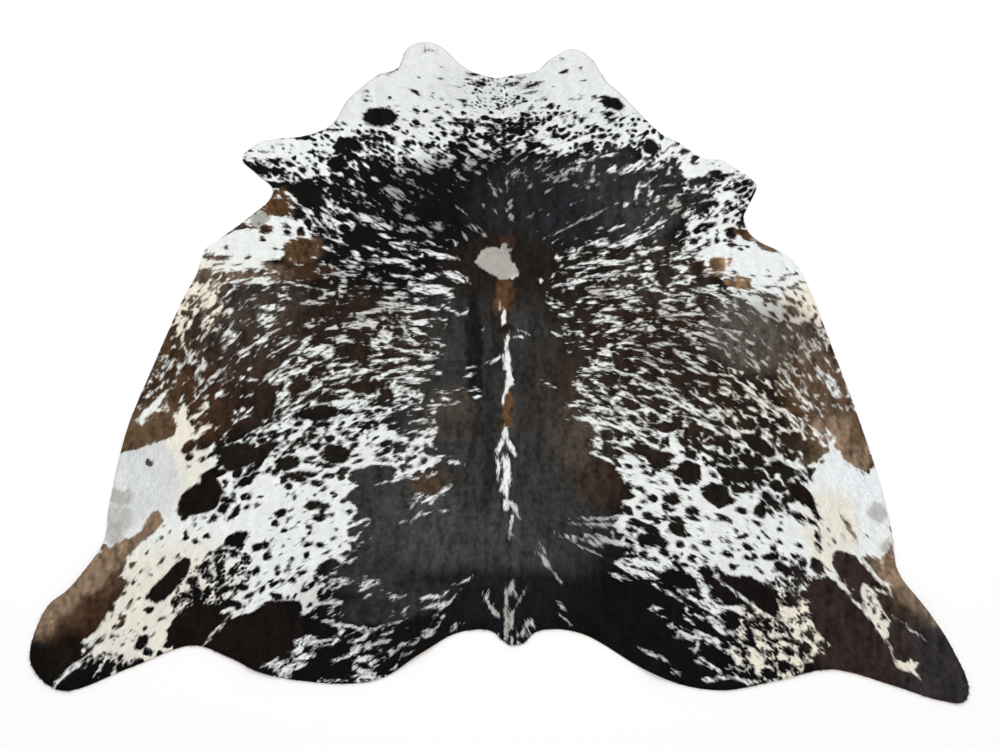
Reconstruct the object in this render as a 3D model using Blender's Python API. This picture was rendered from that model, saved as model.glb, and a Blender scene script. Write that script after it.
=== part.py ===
# A cowhide rug: one whole hide with its hair on, laid flat on the floor with the hair side up.
#
# Metres, +Z up. The neck points to +Y and the tail to -Y. The origin is on the floor, under the middle of the
# rug's length and width.

import math

import bpy
import numpy as np
from mathutils.geometry import delaunay_2d_cdt

# Driving sizes
RUG_LENGTH = 2.305          # from the neck's corners to the hind legs
RUG_WIDTH = 2.065           # across the hind legs
LEATHER_THICKNESS = 0.0022
HAIR_DEPTH = 0.0023         # the short coat as it lies
RIM_ROUNDING = 0.0012       # how far the cut edge is rounded

# How finely the hide is divided
RIM_STEP = 0.021
FOLD_STEP = 0.024
FLAT_STEP = 0.070
CURVE_STEPS = 24            # points read from the curve between two landmarks

# The landmarks of the outline, from the neck to the tail. For each side of the spine: how far out from the
# spine and how far toward the neck, in metres. A negative distance out lies across the spine.
NECK_DIP = (0.000, 0.941)
FOREQUARTER = (
    # landmark              left out, along    right out, along
    ("foot of the dip",       0.062,  0.968,    0.066,  0.960),
    ("rise to the corner",    0.120,  1.015,    0.154,  0.994),
    ("inner neck corner",     0.205,  1.128,    0.192,  1.050),
    ("neck corner",           0.262,  1.154,    0.245,  1.094),
    ("outer neck corner",     0.316,  1.141,    0.290,  1.111),
    ("side of the corner",    0.340,  1.100,    0.350,  1.066),
    ("foot of the corner",    0.364,  1.000,    0.377,  0.992),
    ("cheek",                 0.424,  0.970,    0.405,  0.920),
    ("side of the neck",      0.520,  0.828,    0.443,  0.864),
    ("throat",                0.563,  0.700,    0.575,  0.633),
    ("shoulder",              0.603,  0.662,    0.625,  0.596),
    ("top of the foreleg",    0.670,  0.633,    0.696,  0.520),
    ("foreleg",               0.740,  0.618,    0.758,  0.505),
    ("foreleg corner",        0.802,  0.602,    0.833,  0.432),
    ("foreleg tip",           0.844,  0.530,    0.845,  0.400),
    ("underside of the leg",  0.790,  0.463,    0.800,  0.305),
)
MIDDLE = (
    ("armpit",                0.721,  0.390,    0.780,  0.262),
    ("foot of the armpit",    0.719,  0.346,    0.782,  0.207),
    ("rise to the elbow",     0.760,  0.279,    0.805,  0.166),
    ("elbow",                 0.850,  0.171,    0.874,  0.115),
    ("belly corner",          0.884,  0.134,    0.904,  0.075),
    ("top of the belly",      0.889,  0.040,    0.926, -0.030),
    ("belly",                 0.910, -0.064,    0.941, -0.205),
    ("waist",                 0.947, -0.358,    0.959, -0.440),
    ("flank",                 0.958, -0.520,    0.967, -0.645),
    ("foot of the flank",     0.948, -0.710,    0.960, -0.780),
    ("stifle",                0.935, -0.800,    0.949, -0.870),
)
HINDQUARTER = (
    ("rise to the hock",      0.980, -0.910,    0.990, -0.966),
    ("hock",                  1.020, -0.950,    1.016, -1.027),
    ("hind leg tip",          1.032, -1.032,    1.032, -1.118),
    ("heel",                  1.015, -1.080,    1.012, -1.153),
    ("inner heel",            0.932, -1.131,    0.960, -1.150),
    ("inner leg",             0.800, -1.084,    0.865, -1.119),
    ("hollow of the leg",     0.672, -1.036,    0.745, -1.087),
    ("rise to the rump",      0.585, -1.062,    0.622, -1.109),
    ("rump",                  0.500, -1.097,    0.490, -1.130),
    ("inner rump",            0.262, -1.111,    0.364, -1.104),
    ("fall to the tail",      0.160, -1.055,    0.200, -1.011),
    ("hollow at the tail",    0.085, -1.010,    0.121, -1.001),
    ("root of the tail",      0.006, -1.004,    0.092, -1.009),
    ("tail stub",            -0.030, -1.033,    0.062, -1.033),
)

# The folds that lift the hide off the floor: a place on the hide, half the length and half the width of the
# fold, the way its length runs (degrees from +X) and its height in millimetres.
FOLDS = (
    # fold                        x       y    half long  half wide  turn  height
    ("rim of the dip",          0.010,  0.960,   0.150,     0.050,      4,   9.0),
    ("left neck corner",       -0.250,  1.145,   0.110,     0.050,      8,   7.0),
    ("right neck corner",       0.285,  1.105,   0.100,     0.050,     -8,   7.0),
    ("left cheek",             -0.520,  0.800,   0.120,     0.045,     70,   4.0),
    ("right shoulder",          0.600,  0.620,   0.090,     0.040,    -40,   4.0),
    ("right foreleg",           0.735,  0.520,   0.085,     0.045,    -14,  12.0),
    ("left foreleg",           -0.740,  0.615,   0.090,     0.040,     12,   5.0),
    ("left belly",             -0.955, -0.480,   0.200,     0.045,     88,   5.0),
    ("left hind leg",          -0.970, -0.880,   0.150,     0.055,   -125,  10.0),
    ("ridge of the hind leg",   0.965, -0.965,   0.120,     0.048,    -66,  13.0),
    ("left of the tail",       -0.165, -1.060,   0.095,     0.042,     34,   7.0),
    ("right rump",              0.345, -1.100,   0.090,     0.042,     20,   7.0),
    ("left rump",              -0.530, -1.085,   0.090,     0.040,    -20,   4.0),
    ("withers",                -0.030,  0.420,   0.300,     0.070,     88,   3.5),
    ("loin",                   -0.012, -0.620,   0.260,     0.065,     90,   3.0),
)

# Colours as the photo shows them, averaged over the hide
HAIR_COLOUR = (0.150, 0.118, 0.100, 1.0)
SUEDE_COLOUR = (0.520, 0.440, 0.350, 1.0)
CUT_EDGE_COLOUR = (0.560, 0.370, 0.200, 1.0)


def clear_scene():
    for thing in list(bpy.data.objects):
        bpy.data.objects.remove(thing, do_unlink=True)


def landmark_points():
    """The landmarks once round the hide: down its right side from the neck, then up its left side."""
    rows = FOREQUARTER + MIDDLE + HINDQUARTER
    right = [(out, along) for _, _, _, out, along in rows]
    left = [(-out, along) for _, out, along, _, _ in rows]
    return np.array([NECK_DIP] + right + left[::-1])


def closed_curve(points):
    """A centripetal Catmull-Rom curve through the points: it passes through each and makes no loops."""
    before, here, there, after = (np.roll(points, shift, axis=0) for shift in (1, 0, -1, -2))

    def knot_gap(start, end):
        return np.sqrt(np.linalg.norm(end - start, axis=1))[:, None, None]

    knot1 = knot_gap(before, here)
    knot2 = knot1 + knot_gap(here, there)
    knot3 = knot2 + knot_gap(there, after)
    before, here, there, after = (corner[:, None, :] for corner in (before, here, there, after))
    share = (np.arange(CURVE_STEPS) / CURVE_STEPS)[None, :, None]
    at = knot1 + (knot2 - knot1) * share
    first = ((knot1 - at) * before + at * here) / knot1
    second = ((knot2 - at) * here + (at - knot1) * there) / (knot2 - knot1)
    third = ((knot3 - at) * there + (at - knot2) * after) / (knot3 - knot2)
    fourth = ((knot2 - at) * first + at * second) / knot2
    fifth = ((knot3 - at) * second + (at - knot1) * third) / (knot3 - knot1)
    curve = ((knot2 - at) * fourth + (at - knot1) * fifth) / (knot2 - knot1)
    return curve.reshape(-1, 2)


def fit_to_size(curve):
    """The curve brought to the rug's length and width, with its middle on the origin."""
    low, high = curve.min(axis=0), curve.max(axis=0)
    return (curve - (low + high) / 2) * np.array([RUG_WIDTH, RUG_LENGTH]) / (high - low)


def evenly_spaced(curve, step):
    """Points a step apart along the closed curve."""
    closed = np.vstack([curve, curve[:1]])
    walked = np.concatenate([[0], np.cumsum(np.linalg.norm(np.diff(closed, axis=0), axis=1))])
    stops = np.linspace(0, walked[-1], round(walked[-1] / step), endpoint=False)
    return np.column_stack([np.interp(stops, walked, closed[:, axis]) for axis in (0, 1)])


def fold_shares(points, fold):
    """How far each point lies along and across the fold, as a share of its half length and half width."""
    _, x, y, half_long, half_wide, turn, _ = fold
    away = points - (x, y)
    cosine, sine = math.cos(math.radians(turn)), math.sin(math.radians(turn))
    along = away @ (cosine, sine) / half_long
    across = away @ (-sine, cosine) / half_wide
    return along, across


def lift_off_floor(points):
    """Height of the underside: a squared-cosine swell for each fold, and the floor everywhere else."""
    height = np.zeros(len(points))
    for fold in FOLDS:
        along, across = fold_shares(points, fold)
        inside = (np.abs(along) < 1) & (np.abs(across) < 1)
        swell = np.cos(along * math.pi / 2) ** 2 * np.cos(across * math.pi / 2) ** 2
        height += np.where(inside, swell, 0) * fold[-1] / 1000
    return height


def staggered_grid(low, high, step):
    """Points in rows, each row shifted by half a step, which makes even-sided triangles."""
    rows = np.arange(low[1], high[1], step * math.sqrt(3) / 2)
    columns = np.arange(low[0], high[0], step)
    x, y = np.meshgrid(columns, rows)
    x[1::2] += step / 2
    return np.column_stack([x.ravel(), y.ravel()])


def inside_outline(points, rim):
    """True for each point that a line toward +X leaves the outline an odd number of times."""
    ends = np.roll(rim, -1, axis=0)
    x, y = points[:, :1], points[:, 1:]
    spans = (rim[:, 1] > y) != (ends[:, 1] > y)
    rise = np.where(ends[:, 1] == rim[:, 1], 1.0, ends[:, 1] - rim[:, 1])
    crossing = rim[:, 0] + (y - rim[:, 1]) * (ends[:, 0] - rim[:, 0]) / rise
    return (spans & (x < crossing)).sum(axis=1) % 2 == 1


def fold_points(rim):
    """A finer grid over the folds."""
    grid = staggered_grid(rim.min(axis=0), rim.max(axis=0), FOLD_STEP)
    reached = np.zeros(len(grid), bool)
    for fold in FOLDS:
        along, across = fold_shares(grid, fold)
        reached |= (np.abs(along) < 1.05) & (np.abs(across) < 1.05)
    return grid[reached]


def spread_points(rim):
    """The rim, then the points inside it, each far enough from those before it."""
    kept = rim
    finer = fold_points(rim)
    coarser = staggered_grid(rim.min(axis=0), rim.max(axis=0), FLAT_STEP)
    for grid, room in ((finer, 0.7 * FOLD_STEP), (coarser, 0.6 * FLAT_STEP)):
        grid = grid[inside_outline(grid, rim)]
        nearest = np.linalg.norm(grid[:, None, :] - kept[None, :, :], axis=2).min(axis=1)
        kept = np.vstack([kept, grid[nearest > room]])
    return kept


def make_material(name, colour, roughness):
    material = bpy.data.materials.new(name)
    material.use_nodes = True
    shader = material.node_tree.nodes["Principled BSDF"]
    shader.inputs["Base Color"].default_value = colour
    shader.inputs["Roughness"].default_value = roughness
    shader.inputs["Metallic"].default_value = 0.0
    return material


def make_hide():
    """The underside as one sheet on the floor, thickened upward to the top of the coat."""
    rim = evenly_spaced(fit_to_size(closed_curve(landmark_points())), RIM_STEP)
    points = spread_points(rim)
    rim_edges = [(index, (index + 1) % len(rim)) for index in range(len(rim))]
    flat, _, triangles, *_ = delaunay_2d_cdt([tuple(point) for point in points], rim_edges, [], 1, 1e-6)
    flat = np.array([tuple(point) for point in flat])
    heights = lift_off_floor(flat)

    mesh = bpy.data.meshes.new("hide")
    mesh.from_pydata(np.column_stack([flat, heights]).tolist(), [], triangles)
    mesh.materials.append(make_material("suede", SUEDE_COLOUR, 0.95))
    mesh.materials.append(make_material("hair coat", HAIR_COLOUR, 0.55))
    mesh.materials.append(make_material("cut edge", CUT_EDGE_COLOUR, 0.75))
    mesh.shade_smooth()
    hide = bpy.data.objects.new("hide", mesh)
    bpy.context.collection.objects.link(hide)

    thickness = hide.modifiers.new("leather and coat", "SOLIDIFY")
    thickness.thickness = LEATHER_THICKNESS + HAIR_DEPTH
    thickness.offset = 1
    thickness.material_offset = 1
    thickness.material_offset_rim = 2
    rounding = hide.modifiers.new("rounded edge", "BEVEL")
    rounding.width = RIM_ROUNDING
    rounding.segments = 1
    rounding.limit_method = "ANGLE"
    rounding.angle_limit = math.radians(50)
    return hide


clear_scene()
make_hide()
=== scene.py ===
# A cowhide rug laid flat: leather underneath, a short speckled coat on top.
# Metres, +Z up, the neck toward +Y. The frame's node gives the outline, and all else is worked out here.

import math

import bpy
import numpy as np
from mathutils.geometry import delaunay_2d_cdt
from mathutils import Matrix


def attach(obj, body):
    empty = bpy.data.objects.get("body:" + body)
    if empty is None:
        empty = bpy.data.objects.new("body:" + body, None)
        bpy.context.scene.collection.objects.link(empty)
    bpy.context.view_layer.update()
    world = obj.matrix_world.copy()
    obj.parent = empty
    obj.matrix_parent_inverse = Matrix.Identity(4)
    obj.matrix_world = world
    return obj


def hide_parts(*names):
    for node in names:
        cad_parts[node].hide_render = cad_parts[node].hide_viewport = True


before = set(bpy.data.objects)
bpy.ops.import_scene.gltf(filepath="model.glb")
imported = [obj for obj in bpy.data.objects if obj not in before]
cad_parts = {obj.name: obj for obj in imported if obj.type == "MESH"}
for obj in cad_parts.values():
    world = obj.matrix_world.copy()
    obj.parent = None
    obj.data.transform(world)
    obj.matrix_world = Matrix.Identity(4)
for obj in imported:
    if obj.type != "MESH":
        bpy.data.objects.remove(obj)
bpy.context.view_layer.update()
print("frame loaded")

hide = {
    "leatherThickness": 0.0022,
    "hairHeight": 0.0026,       # how high the coat's mass stands on the leather
    "rimFall": 0.009,           # how far in from the cut edge the coat reaches its full height
    "rimStep": 0.0045,
    "coatStep": 0.0050,         # spacing of the coat's points
    "leatherStep": 0.030,
    "leatherRimEvery": 4,       # the leather's rim has every fourth of the rim's points
    "clearSteps": 0.6,          # how many spacings the points inside keep from the rim
    "curveSteps": 6,            # readings of the curve between two points of the frame's rim
    "lookout": -0.18,           # the place on the spine that sees the whole rim
    "uprightBelow": 0.3,        # faces whose normal rises less than this are the rim's
    "nearDouble": 0.004,        # rim points nearer than this to the one before are left out
    "roughRimEvery": 9,         # rim distances are first taken from every ninth point
    "roughRimReach": 0.03,      # and again from all of them when nearer than this
    "blockOf": 2000,            # points worked out at a time
}

# Folds that lift the hide off the floor: x, y, half length, half width, turn from +X in degrees, and height
# in mm.
folds = {
    "rim of the dip": (0.010, 0.960, 0.150, 0.050, 4, 9.0),
    "left neck corner": (-0.250, 1.145, 0.110, 0.050, 8, 7.0),
    "right neck corner": (0.285, 1.105, 0.100, 0.050, -8, 7.0),
    "left cheek": (-0.520, 0.800, 0.120, 0.045, 70, 4.0),
    "right shoulder": (0.600, 0.620, 0.090, 0.040, -40, 4.0),
    "right foreleg": (0.735, 0.520, 0.085, 0.045, -14, 12.0),
    "left foreleg": (-0.740, 0.615, 0.090, 0.040, 12, 5.0),
    "left belly": (-0.955, -0.480, 0.200, 0.045, 88, 5.0),
    "left hind leg": (-0.970, -0.880, 0.150, 0.055, -125, 10.0),
    "ridge of the hind leg": (0.965, -0.965, 0.120, 0.048, -66, 13.0),
    "left of the tail": (-0.165, -1.060, 0.095, 0.042, 34, 7.0),
    "right rump": (0.345, -1.100, 0.090, 0.042, 20, 7.0),
    "left rump": (-0.530, -1.085, 0.090, 0.040, -20, 4.0),
    "withers": (-0.030, 0.420, 0.300, 0.070, 88, 3.5),
    "loin": (-0.012, -0.620, 0.260, 0.065, 90, 3.0),
}


def frameRim(node):
    # The rim's points are those of the node's upright faces, put in order by their bearing from a place
    # that sees the whole rim, with near doubles left out.
    mesh = node.data
    normals = np.zeros(len(mesh.polygons) * 3)
    mesh.polygons.foreach_get("normal", normals)
    upright = np.abs(normals.reshape(-1, 3)[:, 2]) < hide["uprightBelow"]
    corners = np.zeros(len(mesh.loops), int)
    mesh.loops.foreach_get("vertex_index", corners)
    places = np.zeros(len(mesh.vertices) * 3)
    mesh.vertices.foreach_get("co", places)
    points = places.reshape(-1, 3)[corners.reshape(-1, 3)[upright].ravel(), :2]
    points = np.unique(np.round(points, 4), axis=0)
    points = points[np.argsort(np.arctan2(points[:, 1] - hide["lookout"], points[:, 0]))]
    return points[np.hypot(*(points - np.roll(points, 1, axis=0)).T) > hide["nearDouble"]]


def smoothRim(points, step):
    # A closed Catmull-Rom curve through the points, read again at even steps:
    # half of (2b + (c - a)t + (2a - 5b + 4c - d)t^2 + (3b - a - 3c + d)t^3).
    a, b, c, d = (np.roll(points, shift, axis=0)[:, None, :] for shift in (1, 0, -1, -2))
    t = (np.arange(hide["curveSteps"]) / hide["curveSteps"])[None, :, None]
    curve = 2 * b + (c - a) * t
    curve = (curve + (2 * a - 5 * b + 4 * c - d) * t ** 2 + (3 * b - a - 3 * c + d) * t ** 3) / 2
    curve = curve.reshape(-1, 2)
    closed = np.vstack([curve, curve[:1]])
    walked = np.concatenate([[0], np.cumsum(np.hypot(*np.diff(closed, axis=0).T))])
    stops = np.linspace(0, walked[-1], round(walked[-1] / step), endpoint=False)
    return np.column_stack([np.interp(stops, walked, closed[:, axis]) for axis in (0, 1)])


def rimDistance(points, rim):
    # Distance to the nearest side of the rim, positive inside it: first with few points of the rim, then
    # again with all of them where that is near.
    distance = polygonDistance(points, rim[::hide["roughRimEvery"]])
    near = np.flatnonzero(np.abs(distance) < hide["roughRimReach"])
    distance[near] = polygonDistance(points[near], rim)
    return distance


def polygonDistance(points, corners):
    # The least distance to a side, positive inside, worked out in blocks of points.
    run = np.roll(corners, -1, axis=0) - corners
    lengths = (run ** 2).sum(axis=1)
    rise = np.where(run[:, 1] == 0, 1.0, run[:, 1])
    parts = []
    for block in np.array_split(points, max(1, len(points) // hide["blockOf"])):
        x, y = block[:, :1], block[:, 1:]
        awayX, awayY = x - corners[:, 0], y - corners[:, 1]
        share = np.clip((awayX * run[:, 0] + awayY * run[:, 1]) / lengths, 0, 1)
        nearest = np.sqrt(((awayX - share * run[:, 0]) ** 2 + (awayY - share * run[:, 1]) ** 2).min(axis=1))
        spans = (awayY < 0) != (awayY < run[:, 1])
        crossings = spans & (awayX < awayY * run[:, 0] / rise)
        parts.append(np.where(crossings.sum(axis=1) % 2 == 1, nearest, -nearest))
    return np.concatenate(parts)


def restingHeight(x, y):
    # How high the underside lies: for each fold height cos^2(along) cos^2(aside), and the floor elsewhere.
    height = np.zeros(len(x))
    for middleX, middleY, halfLong, halfWide, turn, millimetres in folds.values():
        cosine, sine = math.cos(math.radians(turn)), math.sin(math.radians(turn))
        along = ((x - middleX) * cosine + (y - middleY) * sine) / halfLong
        aside = ((y - middleY) * cosine - (x - middleX) * sine) / halfWide
        inside = (np.abs(along) < 1) & (np.abs(aside) < 1)
        swell = np.cos(along * np.pi / 2) ** 2 * np.cos(aside * np.pi / 2) ** 2
        height += np.where(inside, swell * millimetres / 1000, 0)
    return height


def sheetPoints(rim, step):
    # Points in rows a step apart, each row shifted by half a step, kept where they lie well inside the rim.
    low, high = rim.min(axis=0), rim.max(axis=0)
    x, y = np.meshgrid(np.arange(low[0], high[0], step), np.arange(low[1], high[1], step * math.sqrt(3) / 2))
    x[1::2] += step / 2
    points = np.column_stack([x.ravel(), y.ravel()])
    distance = rimDistance(points, rim)
    kept = distance > step * hide["clearSteps"]
    return np.vstack([rim, points[kept]]), np.concatenate([np.zeros(len(rim)), distance[kept]])


def joinTriangles(points, rimCount):
    # Triangles between the points, none of them outside the rim, which is the first rimCount points.
    edges = [(index, (index + 1) % rimCount) for index in range(rimCount)]
    flat, _, faces, *_ = delaunay_2d_cdt([tuple(point) for point in points], edges, [], 1, 1e-7)
    if len(flat) != len(points):
        raise ValueError("the rim crosses itself")
    return np.array(faces)


# The coat is charted on a sheet 1000 wide and 750 high: the laid hide seen from above its tail end.
chart = {
    "eye": (0.01454, -1.40796, 1.74),
    "tilt": math.radians(58),   # how far the view looks down
    "reach": 750,
    "middle": (500, 375),
}


def chartPlace(x, y):
    # From a place on the hide to the chart, by the rule of perspective: reach times offset over depth.
    eyeX, eyeY, eyeZ = chart["eye"]
    sine, cosine = math.sin(chart["tilt"]), math.cos(chart["tilt"])
    depth = eyeZ * sine + (y - eyeY) * cosine
    return (chart["middle"][0] + chart["reach"] * (x - eyeX) / depth,
            chart["middle"][1] + chart["reach"] * (eyeZ * cosine - (y - eyeY) * sine) / depth)


def hidePlace(across, down):
    # From the chart back to the hide: where the line of sight meets the floor.
    eyeX, eyeY, eyeZ = chart["eye"]
    sine, cosine = math.sin(chart["tilt"]), math.cos(chart["tilt"])
    sideways, fallen = across - chart["middle"][0], down - chart["middle"][1]
    scale = eyeZ / (fallen * cosine + chart["reach"] * sine)
    return sideways * scale + eyeX, scale * (chart["reach"] * cosine - fallen * sine) + eyeY


# Sizes and lengths are in chart units, unless they say otherwise. A streak is its width, its length along
# the hair, and the spread that its noise is divided by.
coat = {
    "spine": 505,               # where the spine stands on the chart
    "layReach": 46,             # how far one reading of the hair's lay counts
    "streakSteps": 7,
    "shareEnd": 1.2,            # where a field of lightShare ends, and how broadly it fades, in half widths
    "shareFade": 0.45,
    "driftSize": 26,            # how far apart the speckle thickens and thins
    "driftStrength": 0.8,
    "driftEnd": 3,              # how steeply it ends where all hair is light
    "breakStreak": (8, 9, 0.225),
    "breakStrength": 0.6,
    "cellSize": 12,             # the speckle's round cells, large, small and in a stipple
    "smallSize": 6.5,
    "stippleSize": 4.2,
    "stippleShare": 0.7,        # how much of the net a stipple makes up
    "cellStretch": 1.3,         # how much longer than wide a cell is
    "cellJitter": 0.8,
    "cellWeights": (0.4, 1.6),
    "mixSize": 34,              # how far apart large and small cells take turns
    "mixStrength": 1.5,
    "mixMiddle": 300,           # and how far down the chart they are equally many
    "mixSpan": 260,
    "veinShares": (0.35, 0.9985),       # the shares of light hair that veins between the cells can make
    "veinWidth": 1.5,
    "veinGrowth": 0.75,
    "veinLoss": 0.45,
    "veinPull": 1.3,            # how steeply the veins turn light
    "wispStreak": (6.5, 10, 0.19),      # the lone light flecks in dark hair
    "wispDrift": 0.5,
    "wispGain": 4.5,
    "wispLoss": 1.6,
    "wispSlope": 1.3,
    "bareShare": 0.03,          # below this share the flecks stay away
    "bareLoss": 80,
    "laceStreak": (2.6, 9, 0.15),       # the parallel strokes that broad light marks fall into
    "laceGain": 0.5,
    "lacePull": 1.2,
    "laceFrom": 4.5,            # the narrowest mark that does
    "lightDepth": 1.3,
    "lightSwell": -0.4,         # how far a light mark grows past its outline
    "crumbStreak": (2.4, 6, 0.13),      # the crumbling of every border, and the hair that crosses it
    "crumbPull": 0.3,
    "edgeStreak": (3.0, 7, 0.153),
    "edgeJag": 0.3,
    "warpSize": 7.5,
    "warp": 1.0,                # how far the marks are bent
    "markReach": (0.75, 5),     # a mark reaches this share of its length from its middle, and this much more
    "deepest": 8,               # how far from a border the distance is still told
    "toneBend": 3.0,            # how ragged a tone's rim is, and the sizes of its rags
    "toneRags": (19, 7),
    "toneFade": 0.5,            # how much of a tone's half width it takes to fade
    "stripeSizes": ((8, 26), (4, 6)),
    # how strongly the dark hair is mottled: painted sheen, as velvet catches the light
    "darkSheenMottle": 0.5,
    "lightMottle": 0.06,
    "rimDim": 0.55,             # how much the neck's light hair darkens at the very rim: painted shadow and the dark cut edge
    "rimDimWidth": 0.006,       # within this many metres of it
    "rimDimEnd": 150,           # and how far down the chart it does
    "rimDimFade": 20,
}


# How coloured hair is named here, in the 0 to 255 of a colour chooser.
coatColours = {
    "black": (10,10,11), "night": (12,13,17), "gunmetal": (33,34,37), "charcoal": (54,53,51),
    "slate": (72,71,69), "sooty": (34,27,22), "umber": (47,35,27), "bark": (62,43,29), "walnut": (84,63,42),
    "fawn": (150,126,104), "taupe": (78,68,60), "rust": (84,59,36), "ginger": (101,71,45),
    "plum": (24,15,12), "pitch": (18,13,9), "tan": (168,134,100), "ash": (138,117,96), "smoke": (94,87,80),
    "dust": (180,176,171), "white": (236,239,236), "chalk": (226,229,226), "milk": (234,229,216),
    "cream": (240,231,213), "pale grey": (216,219,219), "cool white": (236,239,241), "olive": (94,76,55),
    "cocoa": (55,43,40), "ink": (53,49,51), "stone": (150,146,136), "iron": (128,130,132),
    "wood": (112,94,79),
}

# Which way the hair lies: off the spine, down the chart, and its turn toward the tail from straight out
# to the side. It is the same on both sides.
hairLay = [
    (0,70,-12), (0,140,-8), (0,200,-74), (10,262,90), (0,330,90), (0,450,90), (0,560,90), (0,640,90),
    (40,95,-14), (125,95,-28), (60,140,-14), (95,195,-36), (175,205,-44), (60,190,-44), (200,150,-30),
    (245,160,-18), (220,195,-30), (40,235,-30), (135,240,-24), (90,265,-5), (150,290,-4), (205,285,-14),
    (250,285,12), (292,290,45), (305,315,60), (40,330,40), (75,340,-18), (95,350,-4), (155,330,-4),
    (195,310,8), (235,325,40), (205,360,34), (165,375,15), (245,345,36), (275,350,46), (300,350,60),
    (330,375,65), (65,385,5), (110,400,24), (160,395,28), (195,395,32), (245,400,40), (305,400,56),
    (355,405,50), (105,425,27), (135,445,25), (225,440,30), (265,445,37), (115,478,14), (75,495,38),
    (175,500,28), (225,490,34), (275,480,42), (298,490,54), (345,480,70), (165,530,24), (195,540,28),
    (245,540,45), (260,520,40), (330,540,58), (405,590,42), (375,620,57), (305,600,50), (270,590,42),
    (235,620,44), (205,640,30), (155,650,34), (75,600,30), (55,612,45), (40,560,60), (430,650,48),
    (120,590,22), (180,590,30), (330,650,52),
]

# How much of the hair is light, from 0 to 1, in soft round fields, (across, down, halfLong, halfWide, turn,
# share), each laid over the ones before it.
lightShare = [
    (495,385,420,320,0,0.08), (490,62,190,60,0,0.997), (380,100,60,34,28,0.99), (606,94,62,34,-28,0.99),
    (425,126,54,22,-6,0.9), (424,153,40,15,-8,0.74), (334,150,40,24,24,0.88), (300,166,38,15,-4,0.76),
    (272,151,38,11,5,0.975), (352,152,18,15,-20,0.12), (386,149,28,14,-20,0.42), (494,94,54,20,0,0.84),
    (474,128,34,9,0,0.45), (470,153,36,14,0,0.42), (602,128,66,19,-8,0.84), (566,148,46,14,0,0.6),
    (520,140,32,16,0,0.36), (500,210,160,46,0,0.015), (560,172,60,16,0,0.11), (662,158,30,16,14,0.84),
    (712,168,46,11,-12,0.94), (722,187,40,14,-6,0.42), (728,208,30,16,0,0.76), (708,238,34,22,24,0.74),
    (652,248,52,13,18,0.36), (690,206,22,14,0,0.2), (272,174,24,10,-20,0.4), (325,208,38,20,-34,0.28),
    (376,208,40,24,-24,0.09), (392,186,34,16,-30,0.16), (286,230,36,15,0,0.86), (392,268,82,48,0,0.07),
    (346,236,44,16,-24,0.26), (198,306,34,22,62,0.66), (244,277,52,11,-4,0.5), (262,300,48,30,0,0.07),
    (628,274,62,42,0,0.13), (720,300,40,24,-30,0.12), (806,308,30,38,14,0.93), (784,258,34,18,-28,0.99),
    (770,300,42,13,-16,0.8), (757,332,46,34,0,0.03), (396,350,40,48,0,0.25), (300,345,64,34,20,0.1),
    (226,352,52,46,0,0.06), (404,402,38,52,0,0.22), (322,398,64,36,20,0.25), (246,404,46,40,20,0.05),
    (176,396,42,50,50,0.14), (610,348,36,36,0,0.14), (606,390,38,40,0,0.22), (668,398,52,34,-28,0.16),
    (696,346,56,40,0,0.1), (764,400,62,34,-40,0.16), (824,372,40,52,-65,0.2), (640,440,50,28,-20,0.55),
    (350,440,92,40,10,0.66), (265,452,60,34,20,0.5), (720,440,60,30,-25,0.42), (790,436,40,24,-35,0.45),
    (400,452,42,32,0,0.7), (300,520,112,64,25,0.96), (170,470,52,44,60,0.9985), (150,590,92,62,48,0.955),
    (215,588,42,26,30,0.7), (282,598,60,26,30,0.88), (670,500,84,56,-25,0.88), (760,480,60,40,-35,0.6),
    (760,545,92,46,-25,0.97), (852,500,54,84,-20,0.9985), (118,515,32,36,0,0.9985),
    (655,560,52,24,-15,0.84), (795,590,36,26,-30,0.6), (776,645,60,44,-15,0.66), (712,615,38,38,-40,0.35),
    (345,650,64,42,15,0.16), (414,652,34,26,0,0.02), (495,402,58,176,0,0), (418,540,62,58,0,0),
    (530,560,62,76,0,0), (596,478,24,44,20,0), (640,630,66,62,10,0.01), (448,622,54,36,10,0.01),
    (372,240,24,19,0,0.01), (408,420,21,17,0,0.14), (624,166,22,18,0,0.01), (662,166,16,16,0,0.5),
    (658,238,22,15,0,0.01), (696,418,22,15,0,0.17), (772,308,26,13,-20,0.8), (806,312,18,20,10,0.985),
    (698,168,17,17,0,0.95), (624,346,21,17,0,0.05), (444,274,17,15,0,0.04), (732,346,18,17,0,0.02),
    (192,418,17,17,0,0.06), (192,382,17,17,0,0.05), (264,382,17,15,0,0.01), (300,166,18,17,0,0.88),
    (264,274,16,11,0,0.6), (804,346,17,15,0,0.46), (228,490,17,16,0,0.8), (300,598,18,16,0,0.96),
    (336,598,17,15,0,0.5), (264,454,18,16,0,0.65), (732,274,18,15,0,0.5), (768,490,18,17,0,0.7),
    (372,526,17,17,0,0.22), (444,130,18,17,0,0.82), (444,94,18,17,0,0.95), (552,130,18,17,0,0.75),
    (588,526,17,17,0,0.12), (408,382,18,17,0,0.3), (262,562,20,18,0,0.8), (228,562,18,17,0,0.6),
    (336,490,18,17,0,0.88), (768,562,18,17,0,0.78), (192,598,18,17,0,0.5), (120,634,18,17,0,0.9),
    (228,598,18,17,0,0.55), (264,598,18,16,0,0.78), (156,598,18,17,0,0.9), (768,598,18,17,0,0.42),
    (624,238,17,15,0,0.04), (300,310,18,17,0,0.01), (624,310,18,17,0,0.05), (300,490,18,17,0,0.9),
]

# Where the speckle is a fine stipple: (across, down, halfLong, halfWide, turn).
stippleZones = [
    (776,640,58,44,-15), (214,582,42,24,30), (800,585,28,22,-30), (120,650,40,18,40), (500,96,60,16,0),
]

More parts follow.
